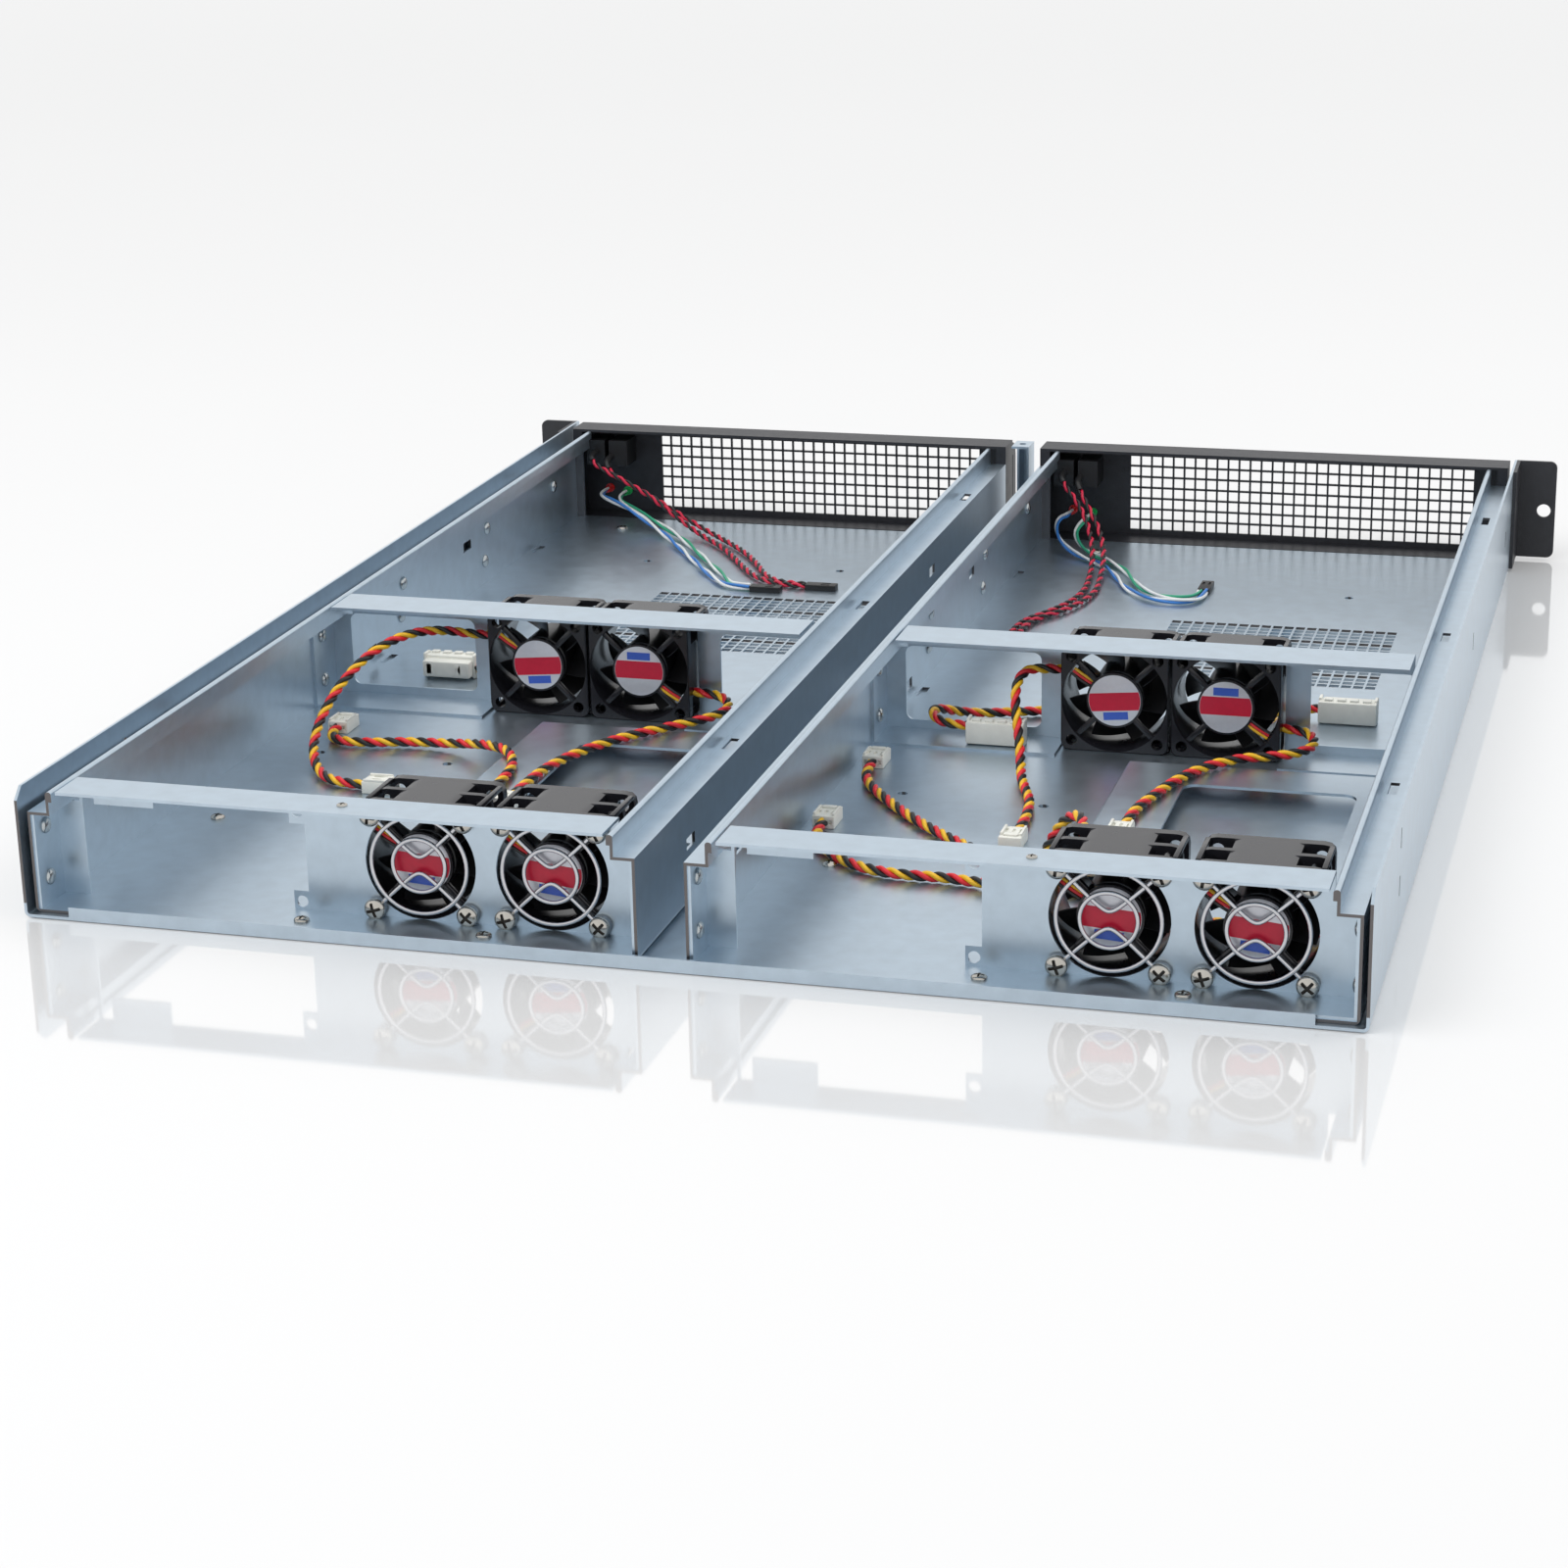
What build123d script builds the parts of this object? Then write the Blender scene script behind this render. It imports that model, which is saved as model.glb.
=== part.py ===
"""Empty 1U rackmount server case with two slide-out nodes.

Seen from the rear, +X is right, +Y runs from the rear panels to the front bezels and +Z is up.
The origin is the centre of the footprint, on the surface that the case rests on. Millimetres.

The outer tray is one folded sheet. Each node is a folded tray of its own that draws out at the
front, with a rear panel, a cross wall, four 40 mm fans, a raised bracket and a black bezel.
Both nodes are alike, so each piece is modelled once, in the place of a node whose left outer
wall is at x = 0, and is then written once for each node.
"""

import os
from math import radians, tan

from build123d import *

os.makedirs("parts", exist_ok=True)

# Sheet metal
sheet = 1.0
bend = 1.0
slide_gap = 0.1

# Case
case_width = 440.0
case_depth = 560.0
case_top_gap = 1.2
tray_side_gap = 3.0
handle_reach = 28.0
lip_margin = 16.0
lip_height = 4.5
tray_corner_cut = 4.0
tray_slot = (1.6, 7.0)
tray_slot_spots = ((78.0, 18.0), (78.0, 34.0), (345.0, 22.0))
tray_front_slot = (55.0, 22.0)

# Rack ears
rack_hole_offset = 12.55
rack_hole_r = 3.0
rack_hole_edge = 4.95
ear_thick = 1.5
ear_leg = 24.0
ear_corner_r = 3.0

# Centre post
post_width = 5.5
post_depth = 12.0
post_setback = 3.0
post_tab_reach = 2.5
post_hole_r = 1.6

# Node tray
node_gap = 16.0
node_rear = 2.5
node_front_setback = 15.2
shelf_drop = 7.2
shelf_step = 8.0
hem_round = 0.45
hem_thick = 2.2
hem_depth = 3.5
front_flange = 5.0
shelf_slot = (3.0, 12.0)
shelf_slot_rows = (120.0, 300.0, 480.0)
wall_slot = (9.0, 4.0)
wall_slot_spots = ((60.0, 22.0), (290.0, 8.0), (400.0, 24.0))
floor_hole_r = 1.8
floor_holes = ((26.0, 178.0), (78.0, 175.0), (150.0, 120.0), (60.0, 470.0), (150.0, 470.0))

# Floor vent
vent_cell = 18.8
vent_bar = 0.9
vent_margin = 33.0
vent_columns = 5
vent_rows = 2
vent_near = 338.0
vent_band = 8.0
tray_vent_rib = 12.0

# Fans
fan_size = 40.0
fan_depth = 28.0
fan_top_gap = 0.1
fan_wall = 0.8
fan_corner = 2.5
fan_flange = 4.0
fan_waist_cut = 9.0
fan_disc_r = 10.5
fan_disc_thick = 2.5
fan_disc_inset = 0.5
fan_strut = 2.2
fan_side_gap = 0.5
hub_trim = 0.2
hub_gap = 0.5
hub_setback = 2.0
blade_count = 7
blade_tip_gap = 1.2
blade_root = 0.5
blade_chord = 17.0
blade_thick = 0.9
blade_pitch = 38.0
shaft_r = 1.5
shaft_depth = 1.4
shaft_clearance = 0.05
screw_inset = 4.0
screw_hole_r = 2.1

# Rear panel
rear_face = 19.0
flange_start = 3.0
beam_inset = 10.4
stile_width = 11.5
tab_left = 15.6
tab_width = 21.5
tab_drop = 8.0
plate_margin = 118.3
plate_ear = 5.3
plate_ear_low = 9.6
plate_ear_high = 32.8
plate_hole_r = 2.0
plate_hole_inset = 2.5
plate_hole_heights = (5.9, 37.0)
rear_fan_side = 13.5
rear_fan_space = 5.0
fan_opening_trim = 0.2

# Cross wall
mid_face = 251.0
mid_flange_depth = 20.0
mid_fan_side = 71.0
mid_fan_space = 1.0
mid_fan_overhang = 11.0
window_left = 9.5
window_post = 9.0
window_low = 6.4
window_drop = 0.6
window_corner_r = 3.0

# Raised bracket
bracket_margin = 108.0
bracket_rear = 95.0
bracket_front = 214.0
bracket_top = 8.0
bracket_arm = 24.0
bracket_band = 21.0
bracket_right_arm = 22.0
bracket_corner_r = 5.0

# Finger guards
guard_outer_reach = 0.4
guard_inner_r = 9.0
guard_wire = 1.4
guard_bend = 4.5
guard_air = 0.05

# Bezel
bezel_top_gap = 0.4
bezel_wall = 1.2
bezel_return = 4.5
mesh_pitch = 5.0
mesh_bar = 0.8
mesh_edge = 3.5
mesh_left_margin = 39.0
mesh_right_margin = 15.0
mesh_center_height = 22.0

# Switches and lamps
power_x = 11.0
reset_x = 22.0
button_height = 33.0
power_r = 3.6
reset_r = 2.6
button_air = 0.2
button_proud = 2.6
button_travel = 1.5
button_stem = 5.0
switch_width = 9.0
switch_tall = 12.0
lamp_spots = ((13.0, 13.0), (22.0, 12.0))
lamp_r = 1.5
lamp_air = 0.1
lamp_collar_r = 2.1
lamp_collar = 1.0
lamp_back = 5.0
lamp_proud = 1.0

# Handle
handle_margin = 6.5
handle_root = 3.0
handle_thick = 4.0
handle_low = 6.0
handle_high = 38.0
handle_bar = 6.0
handle_corner_r = 8.0

# Derived places
overall_depth = case_depth + handle_reach
rear_y = -overall_depth / 2
front_y = rear_y + case_depth
node_bottom = sheet + slide_gap
floor_top = node_bottom + sheet
beam_low = floor_top + fan_size + fan_top_gap
node_height = beam_low + sheet
case_height = node_height + case_top_gap
shelf_height = node_height - shelf_drop
node_width = (case_width - 2 * tray_side_gap - node_gap) / 2
node_front = front_y - node_front_setback
hole_spacing = case_width + 2 * rack_hole_offset
ear_span = hole_spacing + 2 * rack_hole_edge
screw_pitch = fan_size - 2 * screw_inset
fan_bore_r = fan_size / 2 - fan_wall
blade_reach = fan_bore_r - blade_tip_gap
hub_r = fan_disc_r - hub_trim
rear_fan_right = node_width - rear_fan_side - fan_size / 2
rear_fan_xs = (rear_fan_right - fan_size - rear_fan_space, rear_fan_right)
mid_fan_left = mid_fan_side + fan_size / 2
mid_fan_xs = (mid_fan_left, mid_fan_left + fan_size + mid_fan_space)
mid_fan_front = mid_face - mid_fan_overhang
wall_inner_high = shelf_height - sheet - slide_gap
fan_center_z = floor_top + fan_size / 2
node_lefts = {"left": -node_gap / 2 - node_width, "right": node_gap / 2}


def write(solid, name):
    """Write one finished piece under its node name."""
    solid.label = name
    export_step(solid, f"parts/{name}.step")


def write_in_nodes(solid, name):
    """Write one piece of a node once for each node."""
    for side, left in node_lefts.items():
        write(solid.moved(Location((left, 0, 0))), f"{name}_{side}")


def upright(distance):
    """An upright plane across the case, a distance in front of the tray's rear edge."""
    return Plane.XZ.offset(-(rear_y + distance))


# Outer tray: one folded sheet with a rear lip and vent windows under the nodes' vents
vent_width = vent_columns * vent_cell
vent_left = node_width - vent_margin - vent_width
vent_depth = vent_rows * vent_cell
with BuildPart() as outer_tray:
    with BuildSketch(upright(0)):
        Rectangle(case_width, case_height, align=(Align.CENTER, Align.MIN))
        with Locations((0, sheet)):
            Rectangle(
                case_width - 2 * sheet,
                case_height,
                align=(Align.CENTER, Align.MIN),
                mode=Mode.SUBTRACT,
            )
    extrude(amount=-case_depth)
    lengthwise = outer_tray.edges().filter_by(Axis.Y)
    fillet(lengthwise.group_by(Axis.Z)[0], bend + sheet)
    fillet(outer_tray.edges().filter_by(Axis.Y).group_by(Axis.Z)[1], bend)
    rear_tops = outer_tray.edges().filter_by(Axis.X).group_by(Axis.Z)[-1].group_by(Axis.Y)[0]
    chamfer(rear_tops, tray_corner_cut)
    with BuildSketch(upright(0)):
        Rectangle(case_width - 2 * lip_margin, lip_height, align=(Align.CENTER, Align.MIN))
    extrude(amount=-sheet)
    with BuildSketch(Plane.YZ.offset(-case_width / 2)):
        front_slot_distance, front_slot_height = tray_front_slot
        with Locations(
            *[(rear_y + y, z) for y, z in tray_slot_spots],
            (front_y - front_slot_distance, front_slot_height),
        ):
            Rectangle(*tray_slot)
    extrude(amount=case_width, mode=Mode.SUBTRACT)
    with BuildSketch(Plane.XY):
        for left in node_lefts.values():
            for group in range(2):
                near = rear_y + vent_near + group * (vent_depth + vent_band)
                for half in (-1, 1):
                    half_width = (vent_width - tray_vent_rib) / 2
                    center_x = left + vent_left + vent_width / 2
                    with Locations(
                        (center_x + half * (half_width + tray_vent_rib) / 2, near + vent_depth / 2)
                    ):
                        Rectangle(half_width, vent_depth)
    extrude(amount=sheet, mode=Mode.SUBTRACT)
write(outer_tray.part, "outer_tray")

# Centre post: a channel with a holed tab on top, open to the rear
with BuildPart() as center_post:
    with BuildSketch(Plane.XY.offset(sheet)):
        with Locations((0, front_y - post_setback)):
            Rectangle(post_width, post_depth, align=(Align.CENTER, Align.MAX))
        with Locations((0, front_y - post_setback - sheet)):
            Rectangle(
                post_width - 2 * sheet,
                post_depth,
                align=(Align.CENTER, Align.MAX),
                mode=Mode.SUBTRACT,
            )
    extrude(amount=case_height - 2 * sheet)
    with BuildSketch(Plane.XY.offset(case_height - sheet)):
        with Locations((post_width / 2, front_y - post_setback)):
            Rectangle(post_width + post_tab_reach, post_depth, align=(Align.MAX, Align.MAX))
        with Locations((-post_tab_reach / 2, front_y - post_setback - post_depth / 2)):
            Circle(post_hole_r, mode=Mode.SUBTRACT)
    extrude(amount=sheet)
write(center_post.part, "center_post")

# Rack ears: a leg along the outside of the tray's wall and a holed face plate
for side, sign in (("left", -1), ("right", 1)):
    with BuildPart() as ear:
        with BuildSketch(upright(case_depth)):
            with Locations((sign * (case_width / 2 + ear_span / 2) / 2, sheet)):
                Rectangle(
                    (ear_span - case_width) / 2,
                    case_height - sheet,
                    align=(Align.CENTER, Align.MIN),
                )
            with Locations((sign * hole_spacing / 2, case_height / 2)):
                Circle(rack_hole_r, mode=Mode.SUBTRACT)
        extrude(amount=ear_thick)
        outer_corners = ear.edges().filter_by(Axis.Y).sort_by(Axis.X, reverse=sign > 0)[0:2]
        fillet(outer_corners, ear_corner_r)
        with BuildSketch(Plane.XY.offset(sheet)):
            with Locations((sign * (case_width + ear_thick) / 2, front_y)):
                Rectangle(ear_thick, ear_leg, align=(Align.CENTER, Align.MAX))
        extrude(amount=case_height - sheet)
    write(ear.part, f"ear_{side}")

# Node tray: stepped side walls with hemmed tops, front flanges, slots and the floor vent
node_length = node_front - rear_y - node_rear
with BuildPart() as node_chassis:
    with BuildSketch(upright(node_rear)) as section:
        with BuildLine():
            Polyline(
                (node_width / 2, node_bottom),
                (0, node_bottom),
                (0, shelf_height),
                (shelf_step - sheet, shelf_height),
                (shelf_step - sheet, node_height),
                (shelf_step - sheet + hem_thick, node_height),
                (shelf_step - sheet + hem_thick, node_height - hem_depth),
                (shelf_step, node_height - hem_depth),
                (shelf_step, shelf_height - sheet),
                (sheet, shelf_height - sheet),
                (sheet, floor_top),
                (node_width / 2, floor_top),
                close=True,
            )
        make_face()
        mirror(about=Plane.YZ.offset(node_width / 2))
    extrude(amount=-node_length)
    lengthwise = node_chassis.edges().filter_by(Axis.Y)
    fillet(lengthwise.group_by(Axis.Z)[0], bend + sheet)
    fillet(node_chassis.edges().filter_by(Axis.Y).group_by(Axis.Z)[-1], hem_thick * hem_round)
    with BuildSketch(upright(node_front - rear_y)):
        for x, side in ((0, Align.MIN), (node_width, Align.MAX)):
            with Locations((x, floor_top)):
                Rectangle(front_flange, shelf_height - sheet - floor_top, align=(side, Align.MIN))
    extrude(amount=sheet)
    with BuildSketch(Plane.XY.offset(node_bottom)):
        for row in shelf_slot_rows:
            for x in (shelf_step / 2, node_width - shelf_step / 2):
                with Locations((x, rear_y + row)):
                    Rectangle(*shelf_slot)
    extrude(amount=shelf_height, mode=Mode.SUBTRACT)
    with BuildSketch(Plane.YZ):
        with Locations(*[(rear_y + y, z) for y, z in wall_slot_spots]):
            Rectangle(*wall_slot)
    extrude(amount=node_width, mode=Mode.SUBTRACT)
    with BuildSketch(Plane.XY.offset(node_bottom)):
        for group in range(2):
            near = rear_y + vent_near + group * (vent_depth + vent_band)
            with Locations((vent_left + vent_width / 2, near + vent_depth / 2)):
                with GridLocations(vent_cell, vent_cell, vent_columns, vent_rows):
                    Rectangle(vent_cell - vent_bar, vent_cell - vent_bar)
        with Locations(*[(x, rear_y + y) for x, y in floor_holes]):
            Circle(floor_hole_r)
    extrude(amount=sheet, mode=Mode.SUBTRACT)
write_in_nodes(node_chassis.part, "node_chassis")

# Rear panel: stile, hanging tab and fan plate under one top beam, flanges folded to the rear
inner_left = sheet
inner_right = node_width - sheet
plate_left = node_width - plate_margin
plate_ear_left = plate_left - plate_ear
beam_right = node_width - beam_inset
with BuildPart() as rear_panel:
    with BuildSketch(upright(rear_face)):
        with Locations((inner_left, floor_top)):
            Rectangle(
                stile_width - inner_left, wall_inner_high - floor_top, align=(Align.MIN, Align.MIN)
            )
        with Locations((beam_inset, floor_top)):
            Rectangle(
                stile_width - beam_inset, node_height - floor_top, align=(Align.MIN, Align.MIN)
            )
        with Locations((tab_left, node_height)):
            Rectangle(tab_width, tab_drop + sheet, align=(Align.MIN, Align.MAX))
        with Locations((plate_left, floor_top)):
            Rectangle(
                inner_right - plate_left, wall_inner_high - floor_top, align=(Align.MIN, Align.MIN)
            )
        with Locations((plate_left, floor_top)):
            Rectangle(
                beam_right - plate_left, node_height - floor_top, align=(Align.MIN, Align.MIN)
            )
        with Locations((plate_ear_left, floor_top)):
            Rectangle(
                plate_left - plate_ear_left, plate_ear_low - floor_top, align=(Align.MIN, Align.MIN)
            )
        with Locations((plate_ear_left, plate_ear_high)):
            Rectangle(
                plate_left - plate_ear_left,
                node_height - plate_ear_high,
                align=(Align.MIN, Align.MIN),
            )
        with Locations((beam_inset, beam_low)):
            Rectangle(beam_right - beam_inset, sheet, align=(Align.MIN, Align.MIN))
        with Locations(*[(plate_left - plate_hole_inset, z) for z in plate_hole_heights]):
            Circle(plate_hole_r, mode=Mode.SUBTRACT)
        for x in rear_fan_xs:
            with Locations((x, fan_center_z)):
                Circle(fan_bore_r - fan_opening_trim, mode=Mode.SUBTRACT)
                with GridLocations(screw_pitch, screw_pitch, 2, 2):
                    Circle(screw_hole_r, mode=Mode.SUBTRACT)
    extrude(amount=-sheet)
    flange_length = rear_face - flange_start
    with BuildSketch(upright(flange_start)):
        with Locations((beam_inset, beam_low)):
            Rectangle(beam_right - beam_inset, sheet, align=(Align.MIN, Align.MIN))
        with Locations((inner_left, floor_top)):
            Rectangle(sheet, wall_inner_high - floor_top, align=(Align.MIN, Align.MIN))
        with Locations((inner_right, floor_top)):
            Rectangle(sheet, wall_inner_high - floor_top, align=(Align.MAX, Align.MIN))
        with Locations((plate_ear_left, floor_top)):
            Rectangle(inner_right - plate_ear_left, sheet, align=(Align.MIN, Align.MIN))
    extrude(amount=-flange_length)
    top_front = rear_panel.edges().filter_by(Axis.X).group_by(Axis.Z)[-1].group_by(Axis.Y)[-1]
    fillet(top_front, bend * 0.9)
write_in_nodes(rear_panel.part, "rear_panel")

# Cross wall: window at each side, a gap that the two fans stand in, flanges folded to the rear
fan_gap_left = mid_fan_xs[0] - fan_size / 2 - fan_side_gap
fan_gap_right = mid_fan_xs[1] + fan_size / 2 + fan_side_gap
window_width = fan_gap_left - window_post - window_left
side_window_width = node_width - window_left - window_post - fan_gap_right
window_high = shelf_height - window_drop
window_height = window_high - window_low
with BuildPart() as mid_wall:
    with BuildSketch(upright(mid_face)):
        with Locations((inner_left, floor_top)):
            Rectangle(
                inner_right - inner_left, wall_inner_high - floor_top, align=(Align.MIN, Align.MIN)
            )
        with Locations((beam_inset, floor_top)):
            Rectangle(
                beam_right - beam_inset, node_height - floor_top, align=(Align.MIN, Align.MIN)
            )
        with Locations((fan_gap_left, floor_top)):
            Rectangle(
                fan_gap_right - fan_gap_left,
                beam_low - floor_top,
                align=(Align.MIN, Align.MIN),
                mode=Mode.SUBTRACT,
            )
        window_centers = (
            (window_left + window_width / 2, window_width),
            (node_width - window_left - side_window_width / 2, side_window_width),
        )
        for center_x, width in window_centers:
            with Locations((center_x, (window_low + window_high) / 2)):
                RectangleRounded(width, window_height, window_corner_r, mode=Mode.SUBTRACT)
    extrude(amount=-sheet)
    with BuildSketch(upright(mid_face - mid_flange_depth)):
        with Locations((beam_inset, beam_low)):
            Rectangle(beam_right - beam_inset, sheet, align=(Align.MIN, Align.MIN))
        with Locations((inner_left, floor_top)):
            Rectangle(sheet, wall_inner_high - floor_top, align=(Align.MIN, Align.MIN))
            Rectangle(fan_gap_left - inner_left, sheet, align=(Align.MIN, Align.MIN))
        with Locations((inner_right, floor_top)):
            Rectangle(sheet, wall_inner_high - floor_top, align=(Align.MAX, Align.MIN))
            Rectangle(inner_right - fan_gap_right, sheet, align=(Align.MAX, Align.MIN))
    extrude(amount=-mid_flange_depth)
    top_front = mid_wall.edges().filter_by(Axis.X).group_by(Axis.Z)[-1].group_by(Axis.Y)[-1]
    fillet(top_front, bend * 0.9)
write_in_nodes(mid_wall.part, "mid_wall")

# Raised bracket: a plate on two folded legs, cut to a U that opens to the rear
bracket_left = node_width - bracket_margin
bracket_right = inner_right
bracket_width = bracket_right - bracket_left
bracket_length = bracket_front - bracket_rear
with BuildPart() as floor_bracket:
    with BuildSketch(upright(bracket_rear)):
        with Locations((bracket_left, floor_top)):
            Rectangle(bracket_width, bracket_top - floor_top, align=(Align.MIN, Align.MIN))
        with Locations((bracket_left + sheet, floor_top)):
            Rectangle(
                bracket_width - 2 * sheet,
                bracket_top - floor_top - sheet,
                align=(Align.MIN, Align.MIN),
                mode=Mode.SUBTRACT,
            )
    extrude(amount=-bracket_length)
    fillet(floor_bracket.edges().filter_by(Axis.Y).group_by(Axis.Z)[-1], bend)
    with BuildSketch(Plane.XY.offset(floor_top)):
        with Locations((bracket_left + bracket_arm, rear_y + bracket_rear)):
            Rectangle(
                bracket_width - bracket_arm - bracket_right_arm,
                bracket_length - bracket_band,
                align=(Align.MIN, Align.MIN),
            )
    extrude(amount=bracket_top, mode=Mode.SUBTRACT)
    cut_corners = (
        floor_bracket.edges()
        .filter_by(Axis.Z)
        .filter_by_position(Axis.Y, rear_y + bracket_front - bracket_band - 1, rear_y + bracket_front - 1)
    )
    fillet(cut_corners, bracket_corner_r)
write_in_nodes(floor_bracket.part, "floor_bracket")


def fan_frame(center_x, front):
    """A square fan frame with a waisted barrel, four struts and a motor disc at its rear face."""
    with BuildPart() as frame:
        with BuildSketch(upright(front)) as barrel:
            with Locations((center_x, fan_center_z)):
                Rectangle(fan_size, fan_size)
            chamfer(barrel.vertices(), fan_waist_cut)
        extrude(amount=-fan_depth)
        for flange_front in (front, front + fan_depth - fan_flange):
            with BuildSketch(upright(flange_front)) as flange:
                with Locations((center_x, fan_center_z)):
                    Rectangle(fan_size, fan_size)
                chamfer(flange.vertices(), fan_corner)
            extrude(amount=-fan_flange)
        with BuildSketch(upright(front)):
            with Locations((center_x, fan_center_z)):
                Circle(fan_bore_r)
        extrude(amount=-fan_depth, mode=Mode.SUBTRACT)
        with BuildSketch(upright(front + fan_disc_inset)):
            with Locations((center_x, fan_center_z)):
                with Locations(Rotation(0, 0, 45)):
                    Rectangle(2 * fan_bore_r + 1, fan_strut)
                    Rectangle(fan_strut, 2 * fan_bore_r + 1)
                Circle(fan_disc_r)
        extrude(amount=-fan_disc_thick)
        with BuildSketch(upright(front + fan_disc_inset + fan_disc_thick)):
            with Locations((center_x, fan_center_z)):
                Circle(shaft_r + shaft_clearance)
        extrude(amount=shaft_depth + shaft_clearance, mode=Mode.SUBTRACT)
    return frame.part


def fan_rotor(center_x, front):
    """A fan's hub with its shaft end and pitched flat blades."""
    hub_start = front + fan_disc_inset + fan_disc_thick + hub_gap
    hub_length = front + fan_depth - hub_setback - hub_start
    with BuildPart() as rotor:
        with BuildSketch(upright(hub_start)):
            with Locations((center_x, fan_center_z)):
                Circle(hub_r)
        extrude(amount=-hub_length)
        with BuildSketch(upright(hub_start)):
            with Locations((center_x, fan_center_z)):
                Circle(shaft_r)
        extrude(amount=hub_gap + shaft_depth)
        axle = Location(Plane.XZ.offset(-(rear_y + hub_start + hub_length / 2)))
        for blade in range(blade_count):
            turn = Location((center_x, fan_center_z, 0), (0, 0, blade * 360 / blade_count))
            pitched = Location(((hub_r + blade_reach) / 2 - blade_root, 0, 0), (blade_pitch, 0, 0))
            with Locations(axle * turn * pitched):
                Box(blade_reach - hub_r + 2 * blade_root, blade_thick, blade_chord)
    return rotor.part


for place, centers, front in (
    ("rear", rear_fan_xs, rear_face + sheet),
    ("mid", mid_fan_xs, mid_fan_front),
):
    for letter, center_x in zip("ab", centers):
        write_in_nodes(fan_frame(center_x, front), f"fan_frame_{place}_{letter}")
        write_in_nodes(fan_rotor(center_x, front), f"fan_rotor_{place}_{letter}")

# Finger guards: two rings on two bent cross wires for each rear fan
with BuildPart() as finger_guards:
    wire_plane = rear_face - guard_air - guard_wire
    with BuildSketch(upright(wire_plane)):
        for x in rear_fan_xs:
            for sign in (-1, 1):
                with BuildLine() as bent:
                    Polyline(
                        (x - screw_pitch / 2, fan_center_z + sign * screw_pitch / 2),
                        (x, fan_center_z + sign * guard_bend),
                        (x + screw_pitch / 2, fan_center_z + sign * screw_pitch / 2),
                    )
                trace(bent.line, guard_wire)
    extrude(amount=-guard_wire)
    with BuildSketch(upright(wire_plane - guard_wire / 2)):
        for x in rear_fan_xs:
            with Locations((x, fan_center_z)):
                for radius in (screw_pitch / 2 + guard_outer_reach, guard_inner_r):
                    Circle(radius + guard_wire / 2)
                    Circle(radius - guard_wire / 2, mode=Mode.SUBTRACT)
    extrude(amount=-guard_wire)
write_in_nodes(finger_guards.part, "finger_guards")

# Bezel: a folded black box face with the square mesh and holes for switches and lamps
bezel_depth = node_front_setback - slide_gap * 2
bezel_height = case_height - bezel_top_gap - node_bottom
mesh_columns = int((node_width - mesh_left_margin - mesh_right_margin) / mesh_pitch)
mesh_rows = int((bezel_height - 2 * mesh_edge) / mesh_pitch)
mesh_hole = mesh_pitch - mesh_bar
with BuildPart() as front_bezel:
    with BuildSketch(upright(case_depth)):
        with Locations((0, node_bottom)):
            Rectangle(node_width, bezel_height, align=(Align.MIN, Align.MIN))
    extrude(amount=bezel_depth)
    with BuildSketch(upright(case_depth - bezel_wall)):
        with Locations((bezel_wall, node_bottom + bezel_wall)):
            Rectangle(
                node_width - 2 * bezel_wall,
                bezel_height - 2 * bezel_wall,
                align=(Align.MIN, Align.MIN),
            )
    extrude(amount=bezel_depth, mode=Mode.SUBTRACT)
    with BuildSketch(upright(case_depth - bezel_depth)):
        for x, side in ((0, Align.MIN), (node_width, Align.MAX)):
            with Locations((x, node_bottom)):
                Rectangle(bezel_return, bezel_height, align=(side, Align.MIN))
    extrude(amount=-bezel_wall)
    mesh_right = node_width - mesh_right_margin
    mesh_center_x = mesh_right - mesh_columns * mesh_pitch / 2
    with BuildSketch(upright(case_depth)):
        with Locations((mesh_center_x, mesh_center_height)):
            with GridLocations(mesh_pitch, mesh_pitch, mesh_columns, mesh_rows):
                Rectangle(mesh_hole, mesh_hole)
        for x, radius in ((power_x, power_r), (reset_x, reset_r)):
            with Locations((x, button_height)):
                Circle(radius + button_air)
        with Locations(*lamp_spots):
            Circle(lamp_r + lamp_air)
    extrude(amount=bezel_wall, mode=Mode.SUBTRACT)
write_in_nodes(front_bezel.part, "front_bezel")

# Pull handle: an upright loop on the bezel's face
with BuildPart() as pull_handle:
    with BuildSketch(Plane.YZ.offset(node_width - handle_margin - handle_thick / 2)):
        with Locations((front_y, handle_low)):
            outer = Rectangle(
                handle_reach, handle_high - handle_low, align=(Align.MIN, Align.MIN)
            )
        fillet(outer.vertices().group_by(Axis.Y)[-1], handle_corner_r)
        with Locations((front_y + handle_root, handle_low + handle_bar)):
            Rectangle(
                handle_reach - handle_root - handle_bar,
                handle_high - handle_low - 2 * handle_bar,
                align=(Align.MIN, Align.MIN),
                mode=Mode.SUBTRACT,
            )
    extrude(amount=handle_thick)
write_in_nodes(pull_handle.part, "pull_handle")

# Push switches: bodies behind the bezel's face, with a sprung plunger in each
plunger_depth = bezel_wall + button_stem
with BuildPart() as switch_bodies:
    with BuildSketch(upright(case_depth - bezel_wall)):
        for x in (power_x, reset_x):
            with Locations((x, button_height)):
                Rectangle(switch_width, switch_tall)
    extrude(amount=bezel_depth - bezel_wall)
    with BuildSketch(upright(case_depth - bezel_wall)):
        for x, radius in ((power_x, power_r), (reset_x, reset_r)):
            with Locations((x, button_height)):
                Circle(radius + button_air)
    extrude(amount=button_stem + button_travel + button_air, mode=Mode.SUBTRACT)
write_in_nodes(switch_bodies.part, "switch_bodies")

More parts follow.
